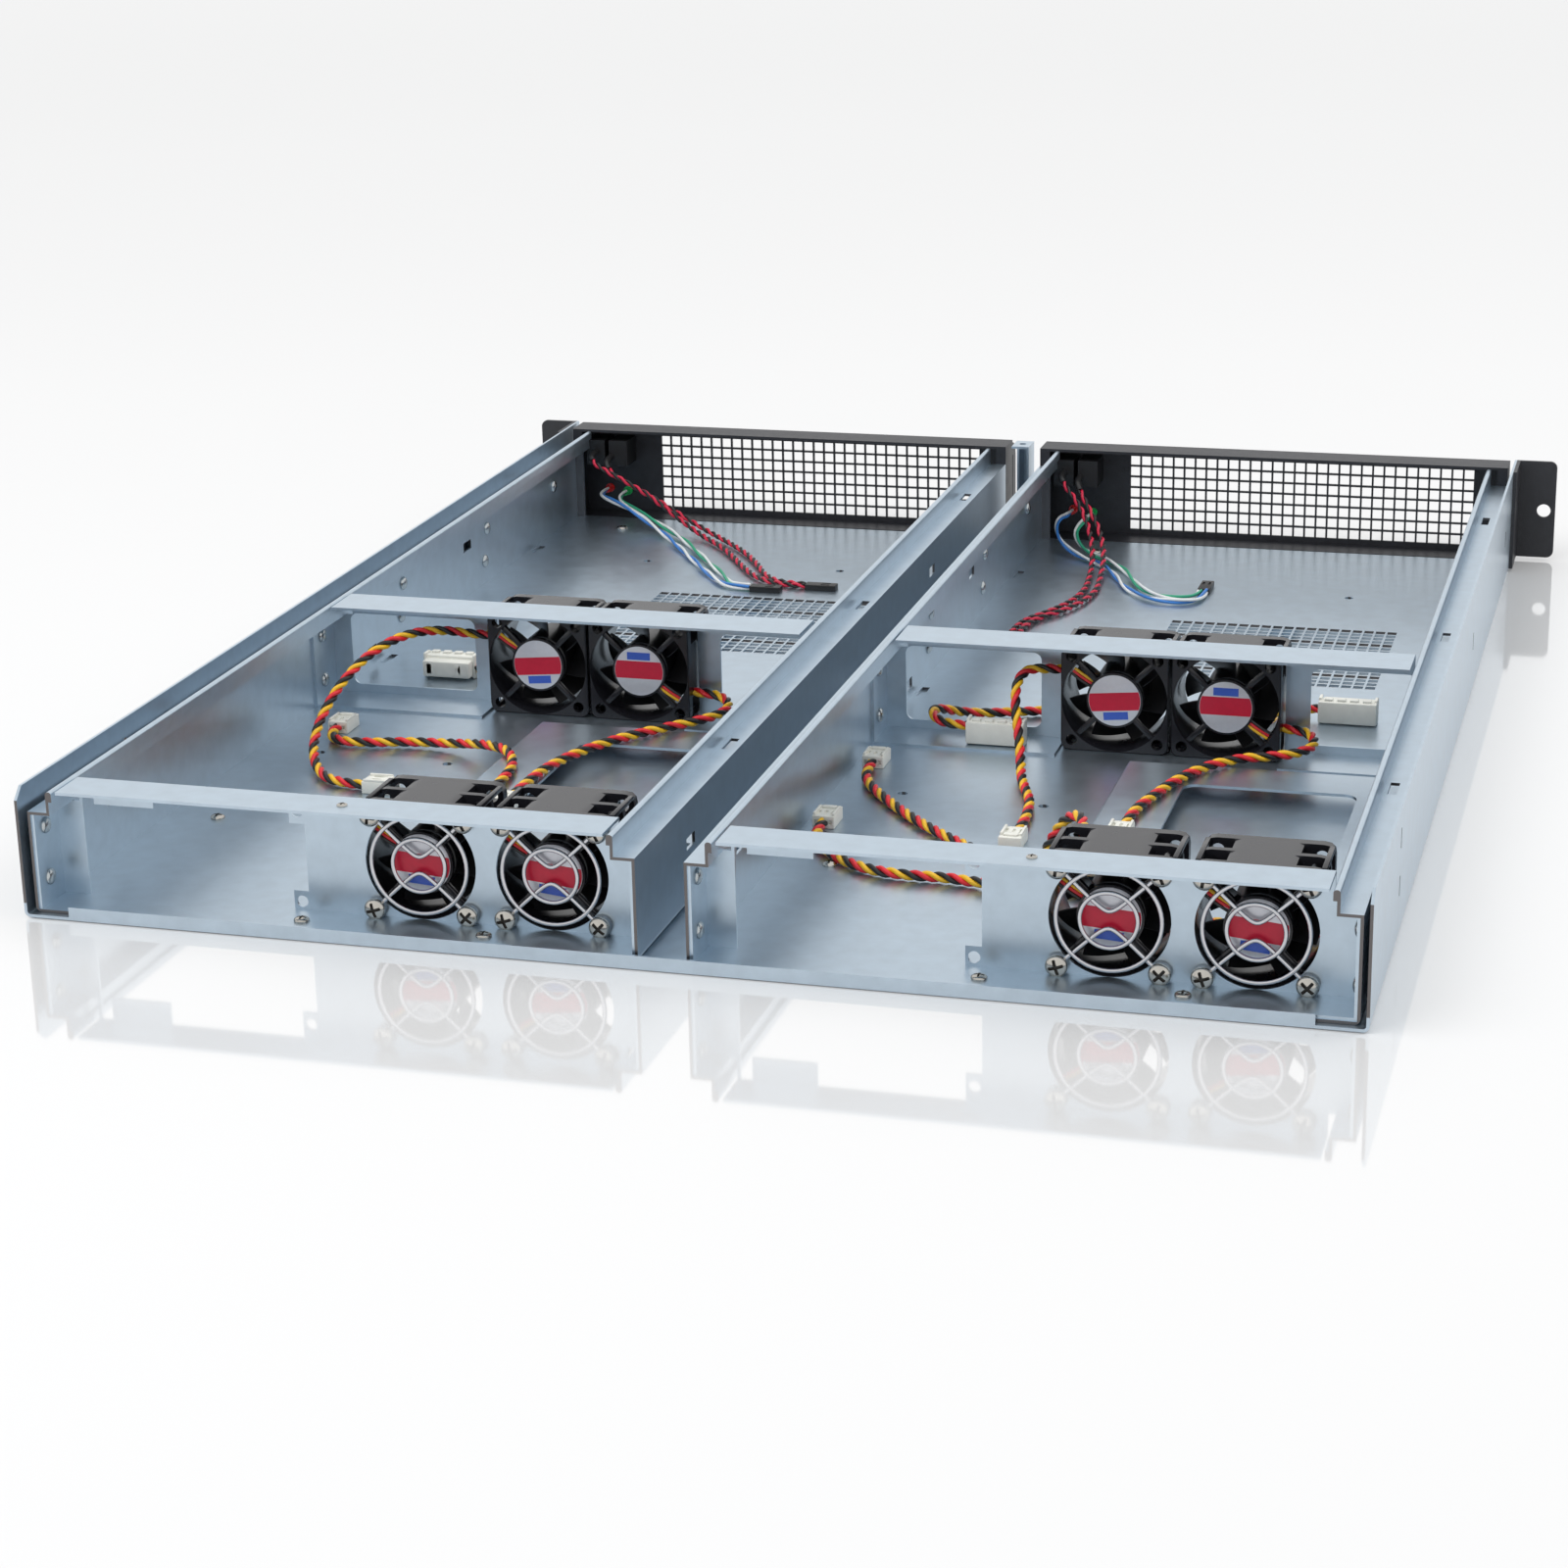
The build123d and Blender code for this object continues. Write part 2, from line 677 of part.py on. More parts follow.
for name, x, radius in (("power_button", power_x, power_r), ("reset_button", reset_x, reset_r)):
    with BuildPart() as button:
        with BuildSketch(upright(case_depth + button_proud)):
            with Locations((x, button_height)):
                Circle(radius)
        extrude(amount=plunger_depth + button_proud)
    write_in_nodes(button.part, name)

# Status lamps: two small domed diodes seated on their collars behind the face
with BuildPart() as status_leds:
    with BuildSketch(upright(case_depth + lamp_proud)):
        with Locations(*lamp_spots):
            Circle(lamp_r)
    extrude(amount=lamp_proud + bezel_wall + lamp_back)
    with BuildSketch(upright(case_depth - bezel_wall)):
        with Locations(*lamp_spots):
            Circle(lamp_collar_r)
    extrude(amount=lamp_collar)
write_in_nodes(status_leds.part, "status_leds")

# Leads: each is a plain tube along a route chosen by hand, given as x, distance from the rear, z
fan_lead = 3.2
thin_lead = 2.4
run_share = 0.45
lead_sides = 6
fan_lead_routes = {
    "lead_mid_a_left": (
        (-146, 246, 31), (-155, 246, 31), (-165, 241, 33.5), (-175, 230.5, 34.5), (-184, 216, 31),
        (-190, 200, 23.5), (-192, 184, 15), (-189.5, 168, 8.5), (-182, 152.5, 4.6),
        (-170, 140, 3.9), (-157, 140, 3.9),
    ),
    "lead_mid_b_left": (
        (-65, 246, 13), (-57, 246, 13), (-49.5, 241, 12), (-47.5, 232, 11), (-52, 222.5, 10.6),
        (-61.5, 214, 10), (-72, 203, 9.8), (-81, 189, 9.9), (-88.5, 173, 9.8), (-93.2, 155, 9.8),
        (-94, 138, 9.9), (-94, 122, 9.9),
    ),
    "lead_rear_a_left": (
        (-193.8, 201, 4.2), (-193.8, 193, 4.2), (-187.5, 186, 4.1), (-175, 186.5, 4),
        (-160, 191, 4.1), (-143, 190.5, 4.6), (-128, 184, 7.6), (-114, 173, 9.9),
        (-105.5, 157, 9.8), (-103.5, 138, 9.9), (-103.5, 120, 9.9), (-104, 105, 10.1),
        (-105.5, 91.5, 10.4), (-108.5, 79, 6.6), (-112.5, 67, 4.4), (-118.5, 55.5, 5.6), (-121, 45.5, 9),
        (-116, 37.5, 13.5), (-106.5, 37.5, 13.5),
    ),
    "lead_mid_a_right": (
        (79, 246, 31), (71.5, 246, 31), (65.5, 241, 31.5), (63.5, 233, 28), (65, 225.5, 20.5),
        (68, 218, 12.5), (70.5, 209, 6.8), (73, 198, 4.2), (77, 186, 3.9), (81.5, 173.5, 4),
        (83.2, 161, 3.9), (84, 150, 3.9), (84, 139, 3.9),
    ),
    "lead_mid_b_right": (
        (160, 247, 13), (167, 247, 13), (172.5, 241.5, 12), (173, 233, 11), (168, 226, 10.6),
        (159.5, 221.5, 10.4), (150, 218.5, 10.2), (141.5, 211.5, 9.9), (135, 201, 9.8),
        (130, 188, 9.9), (126, 173, 9.8), (122.5, 158, 9.9), (121.5, 147, 9.8), (121.5, 136, 9.8),
    ),
    "lead_rear_a_right": (
        (123.2, 48, 37.4), (123.2, 57, 37.4), (120.5, 64.5, 38.6), (115.5, 69.5, 36),
        (111, 72, 29.5), (107, 74.5, 21), (101, 78.5, 12.5), (93, 84, 6.5), (82.5, 88.5, 3.9),
        (70.5, 91, 4), (58, 90.5, 3.9), (46, 92, 4), (35.5, 97.5, 3.9), (26.5, 106, 4),
        (19, 115.5, 3.9), (16.2, 125.5, 4.2), (16.2, 135, 4.2),
    ),
    "lead_rear_b_right": (
        (16.5, 203, 4.2), (16.5, 191, 4.2), (22, 178, 3.9), (31, 165, 4), (41, 152, 3.9),
        (52, 139.5, 4), (64, 128, 3.9), (77, 117, 4), (91, 106, 3.9), (104, 94, 4),
        (119, 84, 3.9), (136, 77, 4), (154, 71.5, 3.9), (172, 67, 4), (189, 63, 3.9),
        (202, 58, 4.4), (210, 50.5, 7), (212.5, 43, 10.5), (210.5, 38, 14.5), (203.5, 38, 14.5),
    ),
    "power_lead_left": (
        (-167.5, 281, 6), (-160, 281, 6), (-153, 284.5, 5), (-146, 283, 5), (-141.3, 276, 6.8),
        (-141.3, 268, 6.8),
    ),
    "power_lead_a_right": (
        (44, 240.5, 8.6), (36.5, 240.5, 8.6), (30, 244, 9.6), (27.5, 251, 10.6), (30, 259, 8.5),
        (36, 266, 5.4), (44.5, 271.5, 3.9), (54, 275, 4), (64, 278.5, 3.9), (72, 282.5, 4),
        (79.5, 282, 5), (83.7, 275.5, 6.8), (83.7, 268, 6.8),
    ),
    "power_lead_b_right": (
        (167.5, 296, 6), (160, 296, 6), (153.5, 292.5, 5.2), (150.5, 286, 4.6), (151.5, 280, 5.2),
        (155.3, 274, 6.8), (155.3, 268, 6.8),
    ),
}
thin_lead_routes = {
    "switch_lead_left": (
        (-206, 545, 33), (-206, 537, 33), (-202, 530, 31), (-193, 526.5, 27.5), (-182.5, 525.5, 23),
        (-172, 524, 17.5), (-162, 521.5, 11.4), (-152, 517, 6.4), (-142, 509.5, 3.6),
        (-131, 497, 3.5), (-120, 480.5, 3.4), (-109.5, 462, 3.5), (-98.5, 446, 3.4),
        (-85, 438.5, 3.4), (-74, 438.5, 3.4),
    ),
    "lamp_lead_left": (
        (-204, 553.8, 13), (-204, 545, 13), (-200.5, 537, 13.6), (-192, 531, 12.6),
        (-181, 526, 9.4), (-169.5, 518, 5.4), (-158, 505, 3.6), (-147, 488.5, 3.4),
        (-136, 471, 3.5), (-125, 454, 3.4), (-115, 440, 3.5), (-106, 431, 3.4), (-97, 431, 3.4),
    ),
    "switch_lead_right": (
        (19, 545, 33), (19, 537, 33), (22.5, 530, 30.5), (29, 525, 25), (34.5, 519, 18),
        (38.5, 510.5, 12), (41.5, 499, 8), (43.5, 486, 5), (45, 471, 3.4), (46.5, 455, 3.5),
        (45, 438, 3.4), (40, 421, 3.5), (33.5, 406.5, 3.4), (31, 395, 3.5), (31, 384, 3.5),
    ),
    "lamp_lead_right": (
        (21, 553.8, 13), (21, 546, 13), (18.5, 538, 13.6), (18.5, 529, 11), (23, 519.5, 7),
        (31, 511.5, 4), (41.5, 502.5, 3.4), (51, 490, 3.5), (57.5, 474.5, 3.4), (64, 459, 3.5),
        (74, 447.5, 3.4), (86, 443.5, 3.5), (94.5, 447.5, 3.4), (96.5, 455.5, 3.5),
        (96.5, 463.2, 3.5),
    ),
}


def lead_tube(points, diameter, name):
    """A plain tube of straight runs joined by arcs as large as their runs allow."""
    corners = [Vector(x, rear_y + y, z) for x, y, z in points]
    radii = []
    for before, corner, after in zip(corners, corners[1:], corners[2:]):
        first = corner - before
        second = after - corner
        turn = radians(first.get_angle(second))
        radii.append(run_share * min(first.length, second.length) / tan(turn / 2))
    with BuildPart() as tube:
        with BuildLine() as route:
            FilletPolyline(*corners, radius=radii)
        with BuildSketch(Plane(origin=corners[0], z_dir=corners[1] - corners[0])):
            RegularPolygon(diameter / 2, lead_sides)
        sweep(path=route.wires()[0])
    length = sum(edge.length for edge in route.edges())
    print(f"{name}: length {length:.0f} mm, tightest arc {min(radii):.1f} mm")
    return tube.part


for routes, diameter in ((fan_lead_routes, fan_lead), (thin_lead_routes, thin_lead)):
    for name, points in routes.items():
        write(lead_tube(points, diameter, name), name)

# Plugs on the leads: centre x, distance from the rear, underside z, turn and size
fan_plug = (8.0, 12.0, 5.6)
power_plug = (22.0, 12.0, 10.0)
pin_plug = (5.4, 14.0, 2.6)
bracket_seat = bracket_top + 0.05
flange_seat = floor_top + sheet + 0.05
floor_seat = floor_top + 0.05
plug_spots = {
    "left": (
        (fan_plug, (-151, 140, floor_seat), 90),
        (fan_plug, (-94, 116, bracket_seat), 0),
        (fan_plug, (-193.8, 207, floor_seat), 0),
        (power_plug, (-178.5, 281, floor_seat), 0),
        (pin_plug, (-67, 438.5, floor_seat), 90),
        (pin_plug, (-90, 431, floor_seat), 90),
    ),
    "right": (
        (fan_plug, (84, 133, floor_seat), 0),
        (fan_plug, (121.5, 130, bracket_seat), 0),
        (fan_plug, (16.2, 141, floor_seat), 0),
        (fan_plug, (16.5, 209, floor_seat), 0),
        (power_plug, (55, 240.5, flange_seat), 0),
        (power_plug, (178.5, 296, floor_seat), 0),
        (pin_plug, (31, 377, floor_seat), 0),
        (pin_plug, (96.5, 470.2, floor_seat), 0),
    ),
}
for side, spots in plug_spots.items():
    with BuildPart() as lead_plugs:
        for (width, length, height), (x, y, z), turn in spots:
            with Locations(Location((x, rear_y + y, z), (0, 0, turn))):
                Box(width, length, height, align=(Align.CENTER, Align.CENTER, Align.MIN))
    write(lead_plugs.part, f"lead_plugs_{side}")
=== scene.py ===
"""Looks for an empty rackmount server case with two slide-out nodes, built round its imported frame.

Metres, +X to the right seen from the rear, +Y from the rear panels to the front bezels, +Z up.
Shapes are drawn in millimetres and scaled once, when a piece's mesh is made.
"""

from math import cos, pi, radians, sin, sqrt

import bmesh
import bpy
from mathutils import Matrix, Vector


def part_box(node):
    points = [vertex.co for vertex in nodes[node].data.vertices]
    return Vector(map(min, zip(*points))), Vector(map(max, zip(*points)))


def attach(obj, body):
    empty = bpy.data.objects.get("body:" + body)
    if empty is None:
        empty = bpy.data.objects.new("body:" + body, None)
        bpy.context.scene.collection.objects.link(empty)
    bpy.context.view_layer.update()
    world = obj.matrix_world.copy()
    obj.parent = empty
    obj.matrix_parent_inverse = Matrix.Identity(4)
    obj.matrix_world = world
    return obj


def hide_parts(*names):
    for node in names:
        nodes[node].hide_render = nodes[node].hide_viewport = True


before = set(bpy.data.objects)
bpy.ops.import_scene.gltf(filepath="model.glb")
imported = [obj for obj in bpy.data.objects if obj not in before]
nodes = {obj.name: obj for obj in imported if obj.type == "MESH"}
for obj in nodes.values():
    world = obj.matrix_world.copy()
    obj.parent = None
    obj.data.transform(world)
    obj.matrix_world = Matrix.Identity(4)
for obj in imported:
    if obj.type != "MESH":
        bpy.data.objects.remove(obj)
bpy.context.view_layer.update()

MM = 0.001
SHARP = 38  # faces that meet at more degrees than this keep a hard edge
SIDES = ("left", "right")
FAN_SPOTS = [(place, letter) for place in ("rear", "mid") for letter in "ab"]
rear_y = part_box("outer_tray")[0].y / MM
scene = bpy.context.scene


# Materials


def procedural(name, color, roughness, metallic=0.0, spread=0.06, patch=250.0, grain=2500.0, bump=0.03):
    """A material whose colour and roughness vary gently in patches, with a fine grain in its surface."""
    made = bpy.data.materials.new(name)
    made.use_nodes = True
    tree = made.node_tree
    shader = tree.nodes["Principled BSDF"]
    shader.inputs["Metallic"].default_value = metallic
    place = tree.nodes.new("ShaderNodeTexCoord")
    patches = tree.nodes.new("ShaderNodeTexNoise")
    patches.inputs["Scale"].default_value = patch
    patches.inputs["Detail"].default_value = 4.0
    tree.links.new(place.outputs["Object"], patches.inputs["Vector"])
    tint = tree.nodes.new("ShaderNodeValToRGB")
    tint.color_ramp.elements[0].position = 0.3
    tint.color_ramp.elements[1].position = 0.7
    tint.color_ramp.elements[0].color = (*[c * (1 - spread) for c in color], 1)
    tint.color_ramp.elements[1].color = (*[min(1, c * (1 + spread)) for c in color], 1)
    tree.links.new(patches.outputs["Fac"], tint.inputs["Fac"])
    tree.links.new(tint.outputs["Color"], shader.inputs["Base Color"])
    gloss = tree.nodes.new("ShaderNodeMapRange")
    gloss.inputs["To Min"].default_value = roughness * 0.85
    gloss.inputs["To Max"].default_value = roughness * 1.15
    tree.links.new(patches.outputs["Fac"], gloss.inputs["Value"])
    tree.links.new(gloss.outputs["Result"], shader.inputs["Roughness"])
    fine = tree.nodes.new("ShaderNodeTexNoise")
    fine.inputs["Scale"].default_value = grain
    tree.links.new(place.outputs["Object"], fine.inputs["Vector"])
    relief = tree.nodes.new("ShaderNodeBump")
    relief.inputs["Strength"].default_value = bump
    relief.inputs["Distance"].default_value = 0.0002
    tree.links.new(fine.outputs["Fac"], relief.inputs["Height"])
    tree.links.new(relief.outputs["Normal"], shader.inputs["Normal"])
    return made


def math_node(tree, operation, first, second=None):
    """The result of a Math node on one or two values, each a socket or a number."""
    node = tree.nodes.new("ShaderNodeMath")
    node.operation = operation
    for socket, value in zip(node.inputs, (first, second)):
        if isinstance(value, bpy.types.NodeSocket):
            tree.links.new(value, socket)
        elif value is not None:
            socket.default_value = value
    return node.outputs["Value"]


def paint_edge_shade(made, above=0.0):
    """Paints shade onto the edge faces of sheet that face the rear or the front, above a height in metres:
    a dark colour stands in for shade.
    """
    tree = made.node_tree
    shader = tree.nodes["Principled BSDF"]
    tint = shader.inputs["Base Color"].links[0].from_socket
    surface = tree.nodes.new("ShaderNodeNewGeometry")
    facing = tree.nodes.new("ShaderNodeSeparateXYZ")
    tree.links.new(surface.outputs["True Normal"], facing.inputs["Vector"])
    along_y = math_node(tree, "ABSOLUTE", facing.outputs["Y"])
    is_shaded_edge = math_node(tree, "GREATER_THAN", along_y, edge_facing)
    spot = tree.nodes.new("ShaderNodeTexCoord")
    place = tree.nodes.new("ShaderNodeSeparateXYZ")
    tree.links.new(spot.outputs["Object"], place.inputs["Vector"])
    is_high = math_node(tree, "GREATER_THAN", place.outputs["Z"], above)
    mix = tree.nodes.new("ShaderNodeMix")
    mix.data_type = "RGBA"
    mix.inputs["B"].default_value = (*edge_shade_color, 1)
    tree.links.new(math_node(tree, "MULTIPLY", is_shaded_edge, is_high), mix.inputs["Factor"])
    tree.links.new(tint, mix.inputs["A"])
    tree.links.new(mix.outputs["Result"], shader.inputs["Base Color"])


sheet_color = (0.505, 0.60, 0.685)
# Painted shade: the dark colour given to the sheet's edge faces that face the rear or the front.
edge_shade_color = (0.15, 0.14, 0.14)
edge_facing = 0.95
lip_top = 0.0048

# After its name, each look gives its colour, its roughness and how metallic it is, then how much the
# colour spreads, how fine its patches and its grain are, and the strength of its bump.
sheet_look = (sheet_color, 0.32, 0.9, 0.05, 160.0, 1400.0, 0.05)
sheet = procedural("galvanised_sheet", *sheet_look)
node_sheet = procedural("galvanised_sheet_node", *sheet_look)
# The node's and the tray's sheet get painted shade on their edge faces, the tray's only above its lip.
paint_edge_shade(node_sheet)
tray_sheet = procedural("galvanised_sheet_tray", *sheet_look)
paint_edge_shade(tray_sheet, lip_top)
paint = procedural("black_powder_coat", (0.020, 0.021, 0.026), 0.45, 0.0, 0.15, 300.0, 1800.0, 0.25)
fan_plastic = procedural("fan_plastic", (0.014, 0.014, 0.018), 0.26, 0.0, 0.1, 200.0, 2600.0, 0.04)
hub_plastic = procedural("hub_plastic", (0.014, 0.014, 0.016), 0.35, 0.0, 0.1, 200.0, 2600.0, 0.06)
switch_plastic = procedural("switch_plastic", (0.012, 0.012, 0.013), 0.4, 0.0, 0.1, 200.0, 2000.0, 0.08)
chrome = procedural("plated_wire", (0.56, 0.56, 0.58), 0.11, 1.0, 0.03, 300.0, 3000.0, 0.02)
# Painted shade: the dark steel given to the inside of the screws' cross recesses.
painted_recess_shade = procedural("painted_recess_shade", (0.07, 0.065, 0.06), 0.5, 0.8, 0.06, 400.0, 3000.0, 0.04)
screw_steel = procedural("screw_steel", (0.50, 0.48, 0.44), 0.2, 1.0, 0.06, 400.0, 3000.0, 0.04)
rivet_steel = procedural("rivet_steel", (0.46, 0.49, 0.50), 0.2, 1.0, 0.06, 400.0, 3000.0, 0.04)
nylon = procedural("white_nylon", (0.80, 0.80, 0.74), 0.42, 0.0, 0.03, 300.0, 1600.0, 0.06)
label_silver = procedural("label_silver", (0.70, 0.71, 0.76), 0.3, 0.35, 0.03, 500.0, 2000.0, 0.02)
label_red = procedural("label_red", (0.62, 0.010, 0.045), 0.35, 0.0, 0.04, 500.0, 2000.0, 0.02)
label_blue = procedural("label_blue", (0.05, 0.13, 0.60), 0.35, 0.0, 0.04, 500.0, 2000.0, 0.02)
lens_red = procedural("lens_red", (0.75, 0.02, 0.02), 0.15, 0.0, 0.05, 500.0, 2000.0, 0.02)
lens_green = procedural("lens_green", (0.02, 0.50, 0.12), 0.15, 0.0, 0.05, 500.0, 2000.0, 0.02)
insulation = {
    "red": procedural("insulation_red", (0.72, 0.018, 0.030), 0.34),
    "crimson": procedural("insulation_crimson", (0.60, 0.010, 0.050), 0.34),
    "yellow": procedural("insulation_yellow", (0.86, 0.50, 0.020), 0.34),
    "black": procedural("insulation_black", (0.012, 0.012, 0.013), 0.34),
    "blue": procedural("insulation_blue", (0.04, 0.20, 0.58), 0.34),
    "green": procedural("insulation_green", (0.03, 0.36, 0.20), 0.34),
    "white": procedural("insulation_white", (0.78, 0.80, 0.80), 0.34),
}


# Shapes


class Shape:
    """Vertices and faces of one piece, in millimetres, with a material number for each face."""

    def __init__(self):
        self.points = []
        self.faces = []
        self.marks = []

    def add(self, points, faces, mark=0, place=Matrix.Identity(4)):
        """Adds points, moved by a matrix, and their faces, all with one material number."""
        start = len(self.points)
        self.points += [place @ Vector(p) for p in points]
        self.faces += [[start + i for i in face] for face in faces]
        self.marks += [mark] * len(faces)
        return self

    def box(self, size, edge, at, segments=2):
        """Adds a box with rounded edges, its middle at a spot."""
        return self.add(*rounded_box(size, edge, segments), place=Matrix.Translation(at))

    def mesh(self, name, crease=SHARP):
        """A mesh in metres with outward normals and creases where faces meet sharply."""
        made = bpy.data.meshes.new(name)
        made.from_pydata([p * MM for p in self.points], [], self.faces)
        made.polygons.foreach_set("material_index", self.marks)
        work = bmesh.new()
        work.from_mesh(made)
        bmesh.ops.recalc_face_normals(work, faces=work.faces)
        work.to_mesh(made)
        work.free()
        made.shade_smooth()
        made.set_sharp_from_angle(angle=radians(crease))
        return made


def set_out(name, mesh, materials, body, at=(0, 0, 0), turn=Matrix.Identity(4)):
    """An object of a mesh, at a place in millimetres, riding on a body."""
    made = bpy.data.objects.new(name, mesh)
    scene.collection.objects.link(made)
    if not mesh.materials:
        for material in materials:
            mesh.materials.append(material)
    made.matrix_world = Matrix.Translation(Vector(at) * MM) @ turn
    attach(made, body)
    return made


def ring_faces(rings, count, closed=False):
    """Faces between rings of points in a row, which closes on itself or ends in two caps."""
    faces = []
    for ring in range(rings if closed else rings - 1):
        low, high = ring * count, (ring + 1) % rings * count
        for i in range(count):
            j = (i + 1) % count
            faces.append((low + i, low + j, high + j, high + i))
    if not closed:
        faces.append(tuple(range(count))[::-1])
        faces.append(tuple(range((rings - 1) * count, rings * count)))
    return faces


def turned(profile, count):
    """Points and faces of a profile of radius and height turned about the Z axis, closed at both ends."""
    points = []
    for radius, height in profile:
        for i in range(count):
            angle = 2 * pi * i / count
            points.append((radius * cos(angle), radius * sin(angle), height))
    return points, ring_faces(len(profile), count)


def rounded_box(size, edge, segments):
    """Points and faces of a box about the origin with rounded edges."""
    work = bmesh.new()
    bmesh.ops.create_cube(work, size=1.0)
    bmesh.ops.scale(work, vec=Vector(size), verts=work.verts)
    bmesh.ops.bevel(
        work, geom=work.edges[:], offset=edge, segments=segments, profile=0.5, affect="EDGES"
    )
    work.verts.index_update()
    points = [v.co.copy() for v in work.verts]
    faces = [[v.index for v in face.verts] for face in work.faces]
    work.free()
    return points, faces


def carried_frames(points):
    """Tangent and two cross directions at each point, turned as little as the path allows."""
    count = len(points)
    tangents = []
    for i in range(count):
        before, after = points[max(i - 1, 0)], points[min(i + 1, count - 1)]
        tangents.append((after - before).normalized())
    side = tangents[0].orthogonal().normalized()
    frames = []
    for tangent in tangents:
        side = (side - tangent * side.dot(tangent)).normalized()
        frames.append((tangent, side, tangent.cross(side)))
    return frames


def tube(points, radius, sides=8):
    """Points and faces of a round tube along a path, closed at both ends."""
    rings = []
    for point, (_, side, up) in zip(points, carried_frames(points)):
        for i in range(sides):
            angle = 2 * pi * i / sides
            rings.append(point + (side * cos(angle) + up * sin(angle)) * radius)
    return rings, ring_faces(len(points), sides)


def wire_ring(radius, wire, count=56, sides=10):
    """Points and faces of a closed ring of wire round the Y axis."""
    points, faces = [], []
    for i in range(count):
        angle = 2 * pi * i / count
        for k in range(sides):
            lean = 2 * pi * k / sides
            reach = radius + wire * cos(lean)
            points.append((reach * cos(angle), wire * sin(lean), reach * sin(angle)))
    for i in range(count):
        for k in range(sides):
            a, b = i * sides, (i + 1) % count * sides
            m = (k + 1) % sides
            faces.append((a + k, b + k, b + m, a + m))
    return points, faces


def cut(shape_mesh, cutter_mesh):
    """The first mesh with the second taken out of it."""
    body = bpy.data.objects.new("cut_body", shape_mesh)
    tool = bpy.data.objects.new("cut_tool", cutter_mesh)
    scene.collection.objects.link(body)
    scene.collection.objects.link(tool)
    step = body.modifiers.new("cut", "BOOLEAN")
    step.operation = "DIFFERENCE"
    step.solver = "EXACT"
    step.object = tool
    view = bpy.context.evaluated_depsgraph_get()
    made = bpy.data.meshes.new_from_object(body.evaluated_get(view))
    bpy.data.objects.remove(body)
    bpy.data.objects.remove(tool)
    made.shade_smooth()
    made.set_sharp_from_angle(angle=radians(SHARP))
    return made


def joined(first, second):
    """The first mesh with the second added to it."""
    work = bmesh.new()
    work.from_mesh(first)
    work.from_mesh(second)
    work.to_mesh(first)
    work.free()
    return first


TO_REAR = Matrix.Rotation(pi / 2, 4, "X")
TO_FRONT = Matrix.Rotation(-pi / 2, 4, "X")
TO_RIGHT = Matrix.Rotation(pi / 2, 4, "Y")
TO_LEFT = Matrix.Rotation(-pi / 2, 4, "Y")


# The frame's own pieces

frame_finishes = (
    (tray_sheet, ("outer_tray",)),
    (node_sheet, ("node_chassis",)),
    (sheet, ("center_post", "rear_panel", "mid_wall", "floor_bracket")),
    (paint, ("ear_", "front_bezel", "pull_handle")),
    (switch_plastic, ("switch_bodies", "power_button", "reset_button")),
)
for name, node in nodes.items():
    for finish, starts in frame_finishes:
        if name.startswith(starts):
            node.data.materials.clear()
            node.data.materials.append(finish)


# Fans. A profile is a row of pairs of radius and height, from the bottom up.

fan_size = 40.0
fan_depth = 28.0
fan_bore = 19.2
bore_flare = 0.5
flare_depth = 1.5
flange = 4.0
rib = 2.4
corner_round = 3.0
edge_round = 0.4
pocket_start = 10.5
pocket_wall = 19.9
pocket_step = 0.1
post_side = 1.8
post_inset = 0.95
post_overlap = 0.4
screw_spot = 16.0
hole_radius = 2.1
disc_inset = 0.5
disc_height = 2.5
motor_disc = ((0.5, 0), (9.9, 0), (10.5, 0.5), (10.5, disc_height), (0.5, disc_height))
strut_size = (10.2, 2.2, 2.2)
strut_middle = 14.6
strut_depth = 1.3
strut_round = 0.5
hub_front = 25.9
hub_profile = ((0.5, 0), (9.6, 0), (10.3, 0.7), (10.3, 21.8), (9.5, 22.4), (0.5, 22.4))
blade_count = 7
blade_root = 10.0
blade_reach = 8.1
blade_sweep = radians(57)
blade_lean = radians(9)
blade_rear = 6.5
blade_chord = 16.5
blade_bulge = 1.6
blade_thick = 0.95
blade_thinning = 0.6
label_profile = ((0.2, 0), (9.7, 0), (9.7, 0.14), (9.6, 0.16), (0.2, 0.16))
print_lift = 0.2
red_radius = 9.55
red_low, red_high = -3.9, 3.0
blue_half = 4.6
blue_low, blue_high = -7.4, -4.4
hub_wire = 0.55
hub_wire_start = 9.8
hub_wire_step = 0.5
hub_wire_angle = radians(-147)
hub_wire_depth = 1.7
hub_wire_rise = 0.5


def square_outline(half, corner, count=96):
    """Points round a square with rounded corners, spaced by angle."""
    outline = []
    inner = half - corner
    for i in range(count):
        angle = 2 * pi * (i + 0.5) / count
        c, s = cos(angle), sin(angle)
        reach = half / max(abs(c), abs(s))
        if min(abs(c), abs(s)) * reach > inner:
            middle = inner * (abs(c) + abs(s))
            reach = middle + sqrt(middle * middle - 2 * inner * inner + corner * corner)
        outline.append((c * reach, s * reach))
    return outline


def notched_outline(half, start, wall, count=96):
    """Points round a square whose corners are pockets down to a round wall, spaced by angle."""
    outline = []
    for i in range(count):
        angle = 2 * pi * (i + 0.5) / count
        c, s = cos(angle), sin(angle)
        large, small = max(abs(c), abs(s)), min(abs(c), abs(s))
        reach = half / large
        if small * reach > start:
            reach = max(start / small, wall)
        outline.append((c * reach, s * reach))
    return outline


def round_outline(radius, count=96):
    """Points round a circle, spaced as the square outlines are."""
    return [
        (radius * cos(2 * pi * (i + 0.5) / count), radius * sin(2 * pi * (i + 0.5) / count))
        for i in range(count)
    ]


